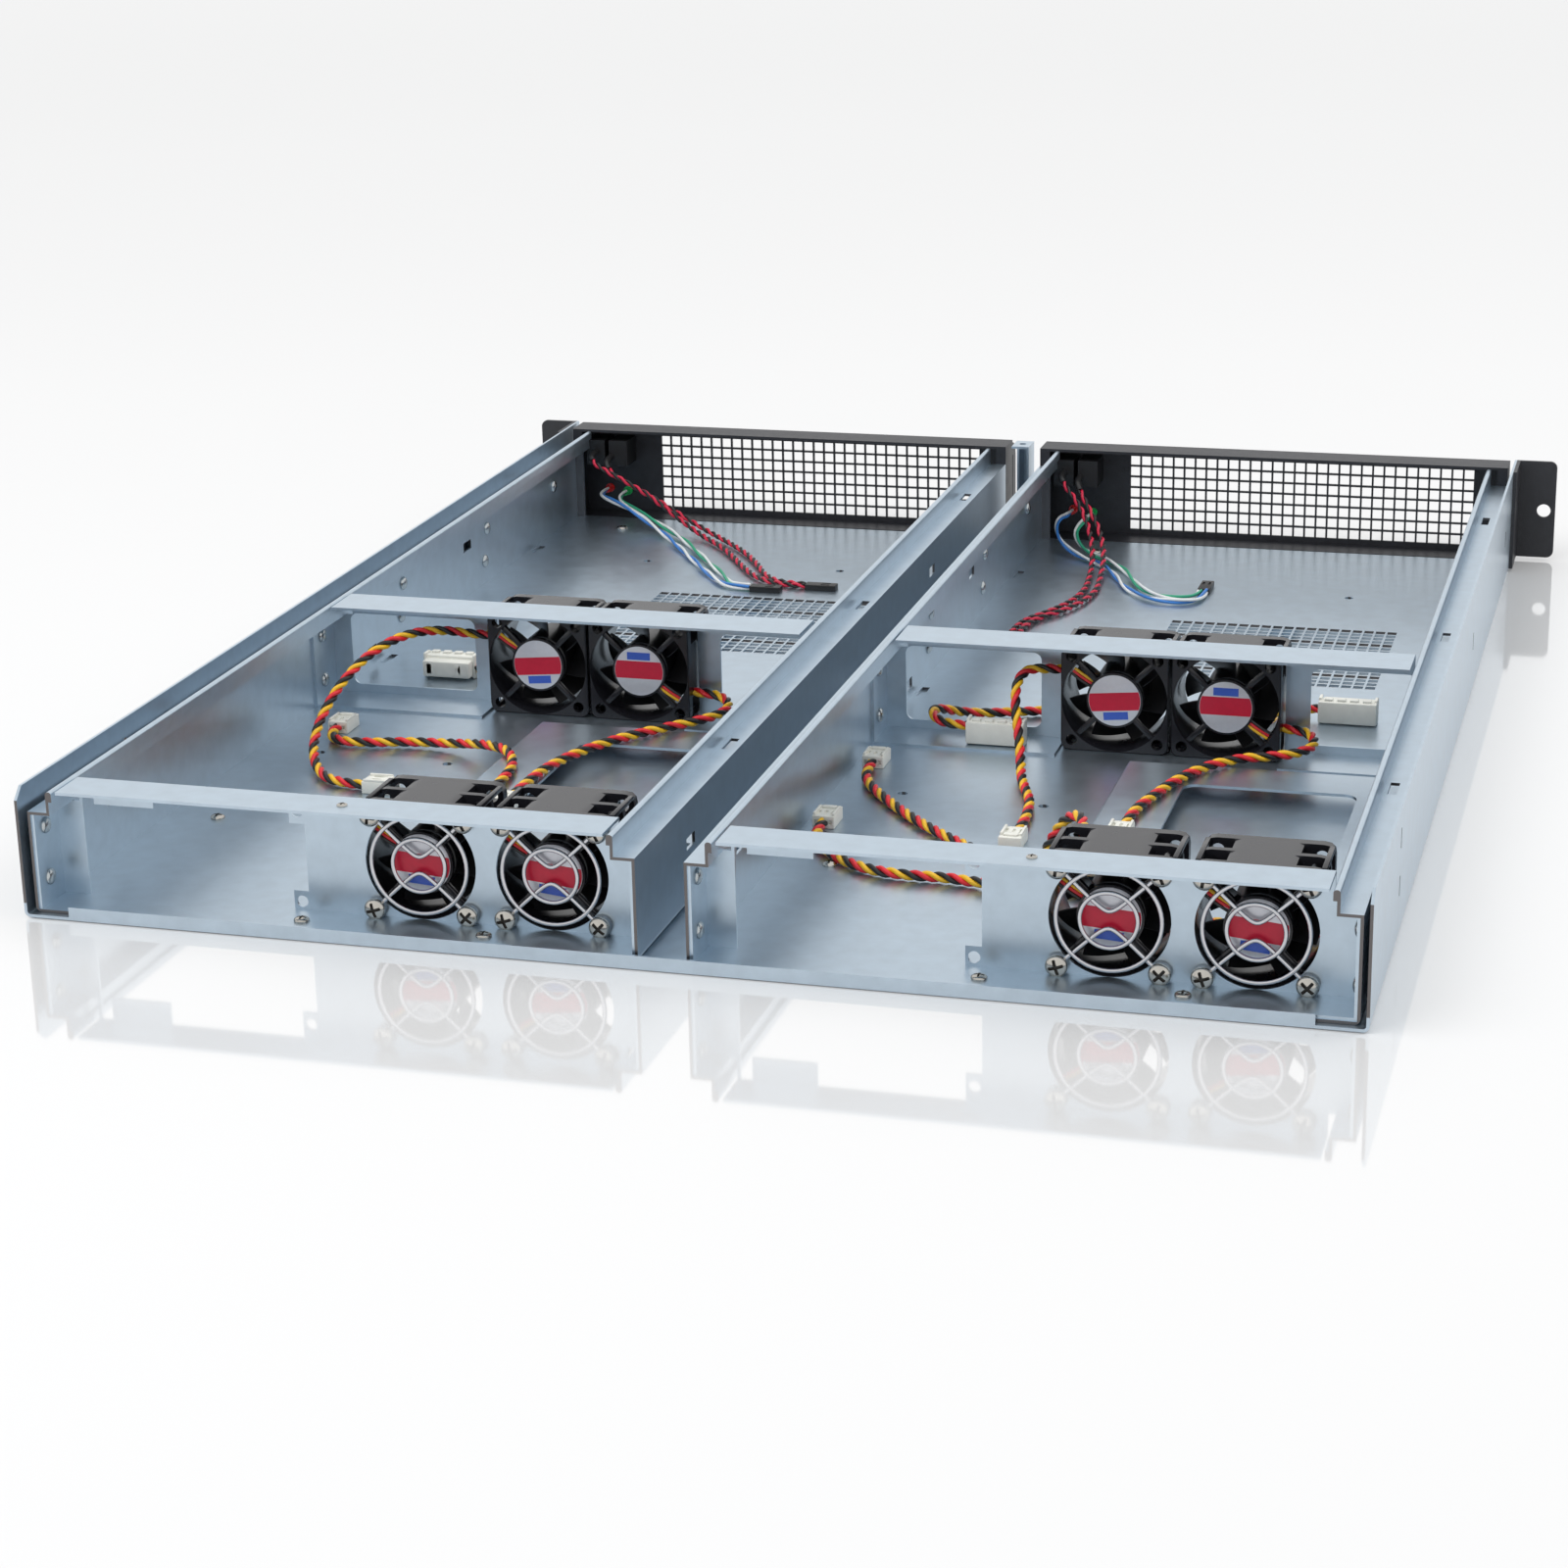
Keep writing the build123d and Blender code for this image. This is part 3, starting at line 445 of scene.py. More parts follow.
def fan_frame_mesh():
    """A square fan frame with a waist, a round bore, corner holes, struts and a motor disc."""
    half = fan_size / 2
    pocketed = notched_outline(half, pocket_start, pocket_wall)
    full = square_outline(half, corner_round)
    trimmed = square_outline(half - edge_round, corner_round - edge_round)
    bore = round_outline(fan_bore)
    flared = round_outline(fan_bore + bore_flare)
    rib_rear = (fan_depth - rib) / 2
    rings = (
        (flared, 0),
        (trimmed, 0),
        (full, edge_round),
        (full, flange),
        (pocketed, flange + pocket_step),
        (pocketed, rib_rear - pocket_step),
        (full, rib_rear),
        (full, rib_rear + rib),
        (pocketed, rib_rear + rib + pocket_step),
        (pocketed, fan_depth - flange - pocket_step),
        (full, fan_depth - flange),
        (full, fan_depth - edge_round),
        (trimmed, fan_depth),
        (flared, fan_depth),
        (bore, fan_depth - flare_depth),
        (bore, flare_depth),
    )
    points = [(x, depth, z) for outline, depth in rings for x, z in outline]
    shell = Shape().add(points, ring_faces(len(rings), len(bore), closed=True))
    holes = Shape()
    for x in (-screw_spot, screw_spot):
        for z in (-screw_spot, screw_spot):
            hole = turned(((hole_radius, -1), (hole_radius, fan_depth + 1)), 20)
            holes.add(*hole, place=Matrix.Translation((x, fan_depth, z)) @ TO_REAR)
    made = cut(shell.mesh("fan_frame_shell"), holes.mesh("fan_frame_holes"))
    spider = Shape()
    disc_place = Matrix.Translation((0, disc_inset + disc_height, 0)) @ TO_REAR
    spider.add(*turned(motor_disc, 48), place=disc_place)
    for quarter in range(4):
        strut = rounded_box(strut_size, strut_round, 2)
        spin = Matrix.Rotation(radians(45 + 90 * quarter), 4, "Y")
        spider.add(*strut, place=spin @ Matrix.Translation((strut_middle, disc_inset + strut_depth, 0)))
    post_length = fan_depth - 2 * flange + post_overlap
    post = (post_side, post_length, post_side)
    post_spot = half - post_inset
    for x in (-1, 1):
        for z in (-1, 1):
            spider.box(post, strut_round, (post_spot * x, fan_depth / 2, post_spot * z))
    return joined(made, spider.mesh("fan_spider"))


def fan_rotor_mesh():
    """A fan's hub with swept blades, thin and twisted from root to tip."""
    rotor = Shape()
    rotor.add(*turned(hub_profile, 48), place=Matrix.Translation((0, hub_front, 0)) @ TO_REAR)
    across, along = 5, 9
    for blade in range(blade_count):
        start = 2 * pi * blade / blade_count
        sheet_points = []
        for u in range(across + 1):
            reach = blade_root + blade_reach * u / across
            for v in range(along + 1):
                share = v / along
                angle = start + blade_sweep * (share - 0.5) + blade_lean * u / across
                depth = blade_rear + blade_chord * share + blade_bulge * sin(pi * share)
                sheet_points.append(Vector((reach * cos(angle), depth, reach * sin(angle))))
        row = along + 1
        offset = []
        for u in range(across + 1):
            for v in range(row):
                outer, inner = min(u + 1, across), max(u - 1, 0)
                after, before = min(v + 1, along), max(v - 1, 0)
                out = sheet_points[outer * row + v] - sheet_points[inner * row + v]
                down = sheet_points[u * row + after] - sheet_points[u * row + before]
                thick = blade_thick * (1 - blade_thinning * abs(2 * v / along - 1) ** 2)
                offset.append(sheet_points[u * row + v] + out.cross(down).normalized() * thick)
        faces = []
        total = len(sheet_points)
        for u in range(across):
            for v in range(along):
                a, b = u * row + v, (u + 1) * row + v
                faces.append((a, a + 1, b + 1, b))
                faces.append((total + a, total + b, total + b + 1, total + a + 1))
        for v in range(along):
            faces.append((v, total + v, total + v + 1, v + 1))
            tip = across * row + v
            faces.append((tip, tip + 1, total + tip + 1, total + tip))
        for u in range(across):
            a, b = u * row, (u + 1) * row
            faces.append((a, b, total + b, total + a))
            a, b = a + along, b + along
            faces.append((a, total + a, total + b, b))
        rotor.add(sheet_points + offset, faces)
    return rotor.mesh("fan_rotor_shape")


def band(radius, low, high, count=24):
    """The outline of the part of a round disc between two levels."""
    levels = [low + (high - low) * i / count for i in range(count + 1)]
    right = [(sqrt(radius * radius - level * level), level) for level in levels]
    return right + [(-x, z) for x, z in reversed(right)]


def fan_label_mesh():
    """A round silver label with a red band and a short blue bar."""
    label = Shape()
    label.add(*turned(label_profile, 64), place=Matrix.Translation((0, disc_inset, 0)) @ TO_REAR)
    plane = disc_inset - print_lift
    red = band(red_radius, red_low, red_high)
    label.add([(x, plane, z) for x, z in red], [range(len(red))], 1)
    blue = ((-blue_half, blue_low), (blue_half, blue_low), (blue_half, blue_high), (-blue_half, blue_high))
    label.add([(x, plane, z) for x, z in blue], [range(4)], 2)
    made = label.mesh("fan_label_shape")
    for material in (label_silver, label_red, label_blue):
        made.materials.append(material)
    return made


def hub_wires_mesh():
    """The three short wires from a fan's motor disc to the edge of its frame, side by side."""
    wires = Shape()
    lean = Matrix.Rotation(hub_wire_angle, 4, "Y")
    steps = 18
    for number in range(3):
        across = (number - 1) * 2.1 * hub_wire
        path = []
        for i in range(steps + 1):
            depth = hub_wire_depth - hub_wire_rise * sin(pi * i / steps)
            path.append(Vector((hub_wire_start + hub_wire_step * i, depth, across)))
        wires.add(*tube(path, hub_wire), number, lean)
    made = wires.mesh("hub_wires_shape")
    for color in ("yellow", "red", "black"):
        made.materials.append(insulation[color])
    return made


frame_mesh = fan_frame_mesh()
hub_wires = hub_wires_mesh()
rotor_mesh = fan_rotor_mesh()
label_mesh = fan_label_mesh()

# How many degrees each fan's label and its wires are turned.
fan_turns = {("rear", "a"): (4, 0), ("rear", "b"): (6, 0), ("mid", "a"): (-5, 0), ("mid", "b"): (180, 180)}
fan_centers = {}
for side in SIDES:
    for place, letter in FAN_SPOTS:
        key = f"{place}_{letter}_{side}"
        low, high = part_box(f"fan_frame_{key}")
        at = ((low.x + high.x) / 2 / MM, low.y / MM, (low.z + high.z) / 2 / MM)
        fan_centers[key] = at
        body = f"node_{side}"
        housing = set_out(f"fan_housing_{key}", frame_mesh, [fan_plastic], body, at)
        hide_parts(f"fan_frame_{key}")
        wheel = set_out(f"fan_wheel_{key}", rotor_mesh, [hub_plastic], f"rotor_{key}", at)
        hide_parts(f"fan_rotor_{key}")
        label_turn, wire_turn = [Matrix.Rotation(radians(d), 4, "Y") for d in fan_turns[place, letter]]
        set_out(f"fan_label_{key}", label_mesh, [], body, at, label_turn)
        set_out(f"hub_wires_{key}", hub_wires, [], body, at, wire_turn)


# Wire guards and their screws

wire = 0.75
guard_outer = 16.4
guard_inner = 9.0
guard_bend = 2.8
guard_round = 2.2
eye = 2.3
eye_share = 0.75
eye_lap = 0.3
rim_share = 0.25
recess_start = 17
recess_step = 31


def bent_wire(sign):
    """The path of a cross wire from one eye to the other, rounded at its bend."""
    corner = screw_spot - eye * eye_share
    rise = corner + eye_lap - guard_bend + guard_round
    slope = sqrt(rise * rise - guard_round * guard_round) / corner
    path = []
    steps = 32
    for i in range(steps + 1):
        x = corner * (2 * i / steps - 1)
        z = guard_bend - guard_round + sqrt((slope * x) ** 2 + guard_round ** 2)
        path.append(Vector((x, 0, sign * z)))
    return path


def guard_mesh(depth):
    """Two rings on two bent cross wires, with an eye at each end."""
    guard = Shape()
    for radius in (guard_outer, guard_inner):
        guard.add(*wire_ring(radius, wire))
    for sign in (-1, 1):
        guard.add(*tube(bent_wire(sign), wire, 10), place=Matrix.Translation((0, depth, 0)))
        for x in (-screw_spot, screw_spot):
            place = Matrix.Translation((x, depth, sign * screw_spot))
            guard.add(*wire_ring(eye, wire, 28), place=place)
    return guard.mesh("guard_shape")


def cross_screw_mesh(name, radius, height, recess):
    """A domed screw head on the XY plane, above an upright rim, with a cross recess."""
    dome_share = 1 - rim_share
    profile = [(radius * 0.97, 0), (radius, height * rim_share)]
    for i in range(1, 9):
        lean = pi / 2 * i / 9
        profile.append((radius * cos(lean), height * (rim_share + dome_share * sin(lean))))
    made = Shape().add(*turned(profile, 36)).mesh(name)

    # Two crossed bars cut the recess, down to a little under half of the head's height.
    arm = recess * 0.42
    bar_height, bar_middle = height * 1.4, height * 1.15
    for width, length in ((recess * 2, arm), (arm, recess * 2)):
        bar = Shape().box((width, length, bar_height), recess * 0.08, (0, 0, bar_middle), 1)
        made = cut(made, bar.mesh(name + "_tool"))

    # Faces well inside the dome are the recess's and get the second material, a dark steel that paints the
    # shade in the recess.
    for face in made.polygons:
        spot = face.center / MM
        across = min(1.0, spot.xy.length / radius)
        dome = height * (rim_share + dome_share * sqrt(1 - across * across))
        in_recess = across < 0.9 and 0.05 * height < spot.z < dome - 0.1 * height
        face.material_index = 1 if in_recess else 0
    return made


big_screw = cross_screw_mesh("big_screw", 3.6, 2.4, 2.5)
small_screw = cross_screw_mesh("small_screw", 2.6, 1.5, 1.7)
steel_and_recess_shade = [screw_steel, painted_recess_shade]
beam_screw = cross_screw_mesh("beam_screw", 1.8, 0.8, 1.2)
rivet_profile = ((2.7, 0), (2.8, 0.3), (2.5, 0.8), (1.8, 1.2), (0.9, 1.4), (0.3, 1.45))
rivet_mesh = Shape().add(*turned(rivet_profile, 24)).mesh("rivet_shape")

for side in SIDES:
    low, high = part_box(f"finger_guards_{side}")
    ring_plane = low.y / MM + wire
    shape = guard_mesh(high.y / MM - wire - ring_plane)
    body = f"node_{side}"
    for letter in "ab":
        x, _, z = fan_centers[f"rear_{letter}_{side}"]
        at = (x, ring_plane, z)
        guard = set_out(f"wire_guard_{letter}_{side}", shape, [chrome], body, at)
        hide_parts(f"finger_guards_{side}")
        for column, dx in enumerate((-screw_spot, screw_spot)):
            for row, dz in enumerate((-screw_spot, screw_spot)):
                degrees = recess_start + recess_step * (column + 2 * row)
                turn = TO_REAR @ Matrix.Rotation(radians(degrees), 4, "Z")
                name = f"guard_screw_{letter}{column}{row}_{side}"
                at = (x + dx, high.y / MM - wire * 2, z + dz)
                set_out(name, big_screw, steel_and_recess_shade, body, at, turn)


# Leads

# The points of a route control a smooth curve. They are millimetres from the middle of the case, from
# the tray's rear edge and from the ground, and each line is laid a little higher.
fan_lead = 3.8
thin_lead = 2.6
lift = 0.3
lead_step = 0.8
strand_crease = 60
sleeve_points = 18
sleeve_wall = 0.2
fan_lead_routes = {
    "lead_mid_a_left": (
        (-146, 246, 31), (-155, 246, 31), (-165, 241, 33.5), (-175, 230.5, 34.5), (-184, 216, 31),
        (-190, 200, 23.5), (-192, 184, 15), (-189.5, 168, 8.5), (-182, 152.5, 4.6),
        (-170, 140, 3.9), (-157, 140, 3.9),
    ),
    "lead_mid_b_left": (
        (-65, 246, 13), (-57, 246, 13), (-49.5, 241, 12), (-47.5, 232, 11), (-52, 222.5, 10.6),
        (-61.5, 214, 10), (-72, 203, 9.8), (-81, 189, 9.9), (-88.5, 173, 9.8), (-93.2, 155, 9.8),
        (-94, 138, 9.9), (-94, 122, 9.9),
    ),
    "lead_rear_a_left": (
        (-106.5, 37.5, 13.5), (-116, 37.5, 13.5), (-121, 45.5, 9), (-118.5, 55.5, 5.6),
        (-112.5, 67, 4.4), (-108.5, 79, 6.6), (-105.5, 91.5, 10.4), (-104, 105, 10.1),
        (-103.5, 120, 9.9), (-103.5, 138, 9.9), (-105.5, 157, 9.8), (-114, 173, 9.9),
        (-128, 184, 7.6), (-143, 190.5, 4.6), (-160, 191, 4.1), (-175, 186.5, 4),
        (-187.5, 186, 4.1), (-193.8, 193, 4.2), (-193.8, 201, 4.2),
    ),
    "lead_mid_a_right": (
        (79, 246, 31), (71.5, 246, 31), (65.5, 241, 31.5), (63.5, 233, 28), (65, 225.5, 20.5),
        (68, 218, 12.5), (70.5, 209, 6.8), (73, 198, 4.2), (77, 186, 3.9), (81.5, 173.5, 4),
        (83.2, 161, 3.9), (84, 150, 3.9), (84, 139, 3.9),
    ),
    "lead_mid_b_right": (
        (160, 247, 13), (167, 247, 13), (172.5, 241.5, 12), (173, 233, 11), (168, 226, 10.6),
        (159.5, 221.5, 10.4), (150, 218.5, 10.2), (141.5, 211.5, 9.9), (135, 201, 9.8),
        (130, 188, 9.9), (126, 173, 9.8), (122.5, 158, 9.9), (121.5, 147, 9.8), (121.5, 136, 9.8),
    ),
    "lead_rear_a_right": (
        (123.2, 48, 37.4), (123.2, 57, 37.4), (120.5, 64.5, 38.6), (115.5, 69.5, 36),
        (111, 72, 29.5), (107, 74.5, 21), (101, 78.5, 12.5), (93, 84, 6.5), (82.5, 88.5, 3.9),
        (70.5, 91, 4), (58, 90.5, 3.9), (46, 92, 4), (35.5, 97.5, 3.9), (26.5, 106, 4),
        (19, 115.5, 3.9), (16.2, 125.5, 4.2), (16.2, 135, 4.2),
    ),
    "lead_rear_b_right": (
        (203.5, 38, 14.5), (210.5, 38, 14.5), (212.5, 43, 10.5), (210, 50.5, 7), (202, 58, 4.4),
        (189, 63, 3.9), (172, 67, 4), (154, 71.5, 3.9), (136, 77, 4), (119, 84, 3.9),
        (104, 94, 4), (91, 106, 3.9), (77, 117, 4), (64, 128, 3.9), (52, 139.5, 4),
        (41, 152, 3.9), (31, 165, 4), (22, 178, 3.9), (16.5, 191, 4.2), (16.5, 203, 4.2),
    ),
    "power_lead_left": (
        (-141.3, 268, 6.8), (-141.3, 276, 6.8), (-146, 283, 5), (-153, 284.5, 5),
        (-160, 281, 6), (-167.5, 281, 6),
    ),
    "power_lead_a_right": (
        (83.7, 268, 6.8), (83.7, 275.5, 6.8), (79.5, 282, 5), (72, 282.5, 4), (64, 278.5, 3.9),
        (54, 275, 4), (44.5, 271.5, 3.9), (36, 266, 5.4), (30, 259, 8.5), (27.5, 251, 10.6),
        (30, 244, 9.6), (36.5, 240.5, 8.6), (44, 240.5, 8.6),
    ),
    "power_lead_b_right": (
        (155.3, 268, 6.8), (155.3, 274, 6.8), (151.5, 280, 5.2), (150.5, 286, 4.6),
        (153.5, 292.5, 5.2), (160, 296, 6), (167.5, 296, 6),
    ),
}
thin_lead_routes = {
    "switch_lead_left": (
        (-206, 545, 33), (-206, 537, 33), (-202, 530, 31), (-193, 526.5, 27.5), (-182.5, 525.5, 23),
        (-172, 524, 17.5), (-162, 521.5, 11.4), (-152, 517, 6.4), (-142, 509.5, 3.6),
        (-131, 497, 3.5), (-120, 480.5, 3.4), (-109.5, 462, 3.5), (-98.5, 446, 3.4),
        (-85, 437.1, 3.4), (-74, 437.1, 3.4),
    ),
    "lamp_lead_left": (
        (-204, 553.8, 13), (-204, 545, 13), (-200.5, 537, 13.6), (-192, 531, 12.6),
        (-181, 526, 9.4), (-169.5, 518, 5.4), (-158, 505, 3.6), (-147, 488.5, 3.4),
        (-136, 471, 3.5), (-125, 454, 3.4), (-115, 439, 3.5), (-106, 429.6, 3.4), (-97, 429.6, 3.4),
    ),
    "switch_lead_right": (
        (19, 545, 33), (19, 537, 33), (22.5, 530, 30.5), (29, 525, 25), (34.5, 519, 18),
        (38.5, 510.5, 12), (41.5, 499, 8), (43.5, 486, 5), (45, 471, 3.4), (46.5, 455, 3.5),
        (45, 438, 3.4), (40, 421, 3.5), (32.5, 406.5, 3.4), (29.5, 395, 3.5), (29.5, 384, 3.5),
    ),
    "lamp_lead_right": (
        (21, 553.8, 13), (21, 546, 13), (18.5, 538, 13.6), (18.5, 529, 11), (23, 519.5, 7),
        (31, 511.5, 4), (41.5, 502.5, 3.4), (51, 490, 3.5), (57.5, 474.5, 3.4), (64, 459, 3.5),
        (74, 447.5, 3.4), (86, 443.5, 3.5), (95.5, 446.5, 3.4), (98, 455.5, 3.5),
        (98, 463.2, 3.5),
    ),
}
second_pair_routes = {
    "switch_lead_left": (
        (-198.5, 545, 31), (-198.5, 538, 31), (-196, 532, 28), (-189, 530.5, 23.5),
        (-180, 531.5, 19), (-170, 530.5, 14), (-159, 527, 9), (-148, 521.5, 5.4),
        (-136.5, 512, 3.6), (-125.5, 499.5, 3.5), (-114, 484.5, 3.4), (-104, 467, 3.5),
        (-96, 450.5, 3.4), (-85, 440.1, 3.4), (-74, 440.1, 3.4),
    ),
    "lamp_lead_left": (
        (-195, 553.8, 12), (-195, 546, 12), (-192.5, 539, 11.4), (-185.5, 534, 9.6),
        (-175, 528.5, 6.8), (-163.5, 519.5, 4.2), (-152.5, 507, 3.5), (-142, 491, 3.4),
        (-131, 473.5, 3.5), (-120, 456.5, 3.4), (-111.5, 443, 3.5), (-106, 432.6, 3.4),
        (-97, 432.6, 3.4),
    ),
    "switch_lead_right": (
        (26.5, 545, 31), (26.5, 538, 31), (29, 532, 28), (34, 526.5, 22), (39.5, 520, 15.5),
        (43.5, 511, 10.5), (46.5, 499, 7.6), (48.5, 485, 5.2), (50, 470, 3.5), (51.5, 454, 3.4),
        (49.5, 437, 3.5), (44, 420.5, 3.4), (35.5, 407, 3.5), (32.5, 395, 3.4), (32.5, 384, 3.5),
    ),
    "lamp_lead_right": (
        (30, 553.8, 12), (30, 546, 12), (28, 539, 11), (27, 531, 8.6), (31, 522, 5.4),
        (38.5, 514, 3.6), (48, 504.5, 3.4), (56.5, 492.5, 3.5), (63, 477.5, 3.4),
        (69, 463, 3.5), (77, 453.5, 3.4), (86.5, 449, 3.5), (93, 451, 3.4), (95, 457, 3.5),
        (95, 463.2, 3.5),
    ),
}
lead_lengths = {
    "lead_mid_a_left": 153, "lead_mid_b_left": 150, "lead_rear_a_left": 248, "lead_mid_a_right": 128,
    "lead_mid_b_right": 141, "lead_rear_a_right": 169, "lead_rear_b_right": 281, "power_lead_left": 38,
    "power_lead_a_right": 102, "power_lead_b_right": 41, "switch_lead_left": 189,
    "lamp_lead_left": 171, "switch_lead_right": 178, "lamp_lead_right": 163,
}
second_pair_lengths = {
    "switch_lead_left": 182, "lamp_lead_left": 162, "switch_lead_right": 177, "lamp_lead_right": 146,
}


def smooth_line(route):
    """Points along the smooth curve that a route's points control, in millimetres."""
    data = bpy.data.curves.new("route", "CURVE")
    data.dimensions = "3D"
    spline = data.splines.new("NURBS")
    spline.points.add(len(route) - 1)
    for point, (x, y, z) in zip(spline.points, route):
        point.co = (x * MM, (rear_y + y) * MM, (z + lift) * MM, 1)
    spline.order_u = 3
    spline.use_endpoint_u = True
    spline.resolution_u = 14
    holder = bpy.data.objects.new("route", data)
    scene.collection.objects.link(holder)
    line = bpy.data.meshes.new_from_object(holder)
    points = [v.co / MM for v in line.vertices]
    bpy.data.objects.remove(holder)
    bpy.data.meshes.remove(line)
    return points


def evenly(points, step):
    """The same path with points a fixed step apart."""
    spaced = [points[0]]
    left = step
    for before, after in zip(points, points[1:]):
        length = (after - before).length
        while left <= length:
            spaced.append(before.lerp(after, left / length))
            left += step
        left -= length
    if (spaced[-1] - points[-1]).length > step * 0.3:
        spaced.append(points[-1])
    return spaced


def twisted(name, route, diameter, colors, pitch):
    """Strands of insulated wire laid round each other along a route."""
    line = evenly(smooth_line(route), lead_step)
    count = len(colors)
    strand = diameter / 2 / (1 + 1 / sin(pi / count))
    reach = diameter / 2 - strand
    frames = carried_frames(line)
    bundle = Shape()
    for number in range(count):
        path = []
        for i, (point, (_, side, up)) in enumerate(zip(line, frames)):
            angle = 2 * pi * (number / count + i * lead_step / pitch)
            path.append(point + (side * cos(angle) + up * sin(angle)) * reach)
        bundle.add(*tube(path, strand, 8), mark=number)
    made = bundle.mesh(name + "_shape", strand_crease)
    for color in colors:
        made.materials.append(insulation[color])
    return made, line


# Plugs on the leads. A box is given by its size in millimetres and the rounding of its edges.


def fan_plug_mesh():
    """A three-pin plug lying flat, its wires entering from the rear."""
    plug = Shape()
    plug.box((8.0, 12.0, 4.6), 0.35, (0, 0, 2.3))
    body = plug.mesh("fan_plug_body")
    ribs = Shape()
    for x in (-3.4, 3.4):
        ribs.box((0.9, 9.0, 1.0), 0.2, (x, 0.8, 5.0))
    ribs.box((5.0, 2.2, 0.8), 0.2, (0, -3.4, 4.9))
    slots = Shape()
    for x in (-2.5, 0, 2.5):
        slots.box((1.1, 3.6, 1.4), 0.1, (x, 1.6, 4.6), 1)
        slots.box((1.3, 2.4, 1.6), 0.1, (x, 6.0, 2.4), 1)
    return joined(cut(body, slots.mesh("fan_plug_slots")), ribs.mesh("fan_plug_ribs"))


def power_plug_mesh():
    """A flat four-way power plug with round towers and side grips."""
    plug = Shape()
    plug.box((22.0, 6.5, 8.4), 0.6, (0, -2.7, 4.6))
    plug.box((20.0, 5.6, 6.6), 0.8, (0, 3.0, 4.4))
    for x in (-7.2, -2.4, 2.4, 7.2):
        tower = ((2.1, 0), (2.3, 0.3), (2.3, 9.0), (1.9, 9.4))
        plug.add(*turned(tower, 20), place=Matrix.Translation((x, 5.8, 4.6)) @ TO_REAR)
        plug.box((3.2, 2.4, 1.0), 0.25, (x, -3.4, 9.2))
    for x in (-10.4, 10.4):
        plug.box((1.2, 5.0, 9.6), 0.3, (x, -1.0, 4.9))
    return plug.mesh("power_plug_body")


def pin_plug_mesh():
    """A small black two-pin plug."""
    plug = Shape()
    plug.box((5.2, 13.8, 2.5), 0.25, (0, 0, 1.25))
    body = plug.mesh("pin_plug_body")
    slots = Shape()
    for x in (-1.3, 1.3):
        slots.box((1.0, 4.0, 1.0), 0.1, (x, -2.0, 2.5), 1)
    return cut(body, slots.mesh("pin_plug_slots"))


plug_shapes = {
    "fan": (fan_plug_mesh(), nylon),
    "power": (power_plug_mesh(), nylon),
    "pin": (pin_plug_mesh(), switch_plastic),
}
plug_spots = {
    "lead_mid_a_left": ("fan", (-151, 140, 2.15), 90),
    "lead_mid_b_left": ("fan", (-94, 116, 8.05), 0),
    "lead_rear_a_left": ("fan", (-193.8, 207, 2.15), 180),
    "power_lead_left": ("power", (-178.5, 281, 2.15), 180),
    "switch_lead_left": ("pin", (-67, 438.5, 2.15), 90),
    "lamp_lead_left": ("pin", (-90, 431, 2.15), 90),
    "lead_mid_a_right": ("fan", (84, 133, 2.15), 0),
    "lead_mid_b_right": ("fan", (121.5, 130, 8.05), 0),
    "lead_rear_a_right": ("fan", (16.2, 141, 2.15), 180),
    "lead_rear_b_right": ("fan", (16.5, 209, 2.15), 180),
    "power_lead_a_right": ("power", (55, 240.5, 3.15), 0),
    "power_lead_b_right": ("power", (178.5, 296, 2.15), 0),
    "switch_lead_right": ("pin", (31, 377, 2.15), 0),
    "lamp_lead_right": ("pin", (96.5, 470.2, 2.15), 180),
}


def lay_lead(piece_name, node_name, route, diameter, colors, pitch, length, plug):
    shape, line = twisted(piece_name, route, diameter, colors, pitch)
    body = "node_" + node_name.rsplit("_", 1)[1]
    wires = set_out(piece_name, shape, [], body)
    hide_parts(node_name)
    if node_name.startswith("switch"):
        covered = tube(line[:sleeve_points], thin_lead / 2 + sleeve_wall, 12)
        sleeve = Shape().add(*covered).mesh("sleeve_shape")
        name = f"sleeve_{piece_name}"
        set_out(name, sleeve, [switch_plastic], body)


fan_colors = ("red", "yellow", "black")
fan_pitch = 12.5

# The colours and the pitch of the twist in the first and the second pair.
pair_styles = {
    "switch": ((("crimson", "black"), 9.0), (("crimson", "black"), 10.0)),
    "lamp": ((("blue", "white"), 46.0), (("green", "white"), 52.0)),
}
for name, route in (*fan_lead_routes.items(), *thin_lead_routes.items()):
    side = name.rsplit("_", 1)[1]
    kind, (x, y, z), turn = plug_spots[name]
    plug_shape, plug_finish = plug_shapes[kind]
    spin = Matrix.Rotation(radians(turn), 4, "Z")
    at = (x, rear_y + y, z)
    plug = set_out(f"plug_{name}", plug_shape, [plug_finish], f"node_{side}", at, spin)
    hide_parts(f"lead_plugs_{side}")
    length = lead_lengths[name]
    if name in fan_lead_routes:
        lay_lead(f"wires_{name}", name, route, fan_lead, fan_colors, fan_pitch, length, plug)
        continue
    first, second = pair_styles[name.split("_")[0]]
    lay_lead(f"wires_{name}", name, route, thin_lead, *first, length, plug)
    second_name = f"second_wires_{name}"
    second_route = second_pair_routes[name]
    lay_lead(second_name, name, second_route, thin_lead, *second, second_pair_lengths[name], plug)


# Lamps. The ends of the collar are measured back from the lamp's tip.

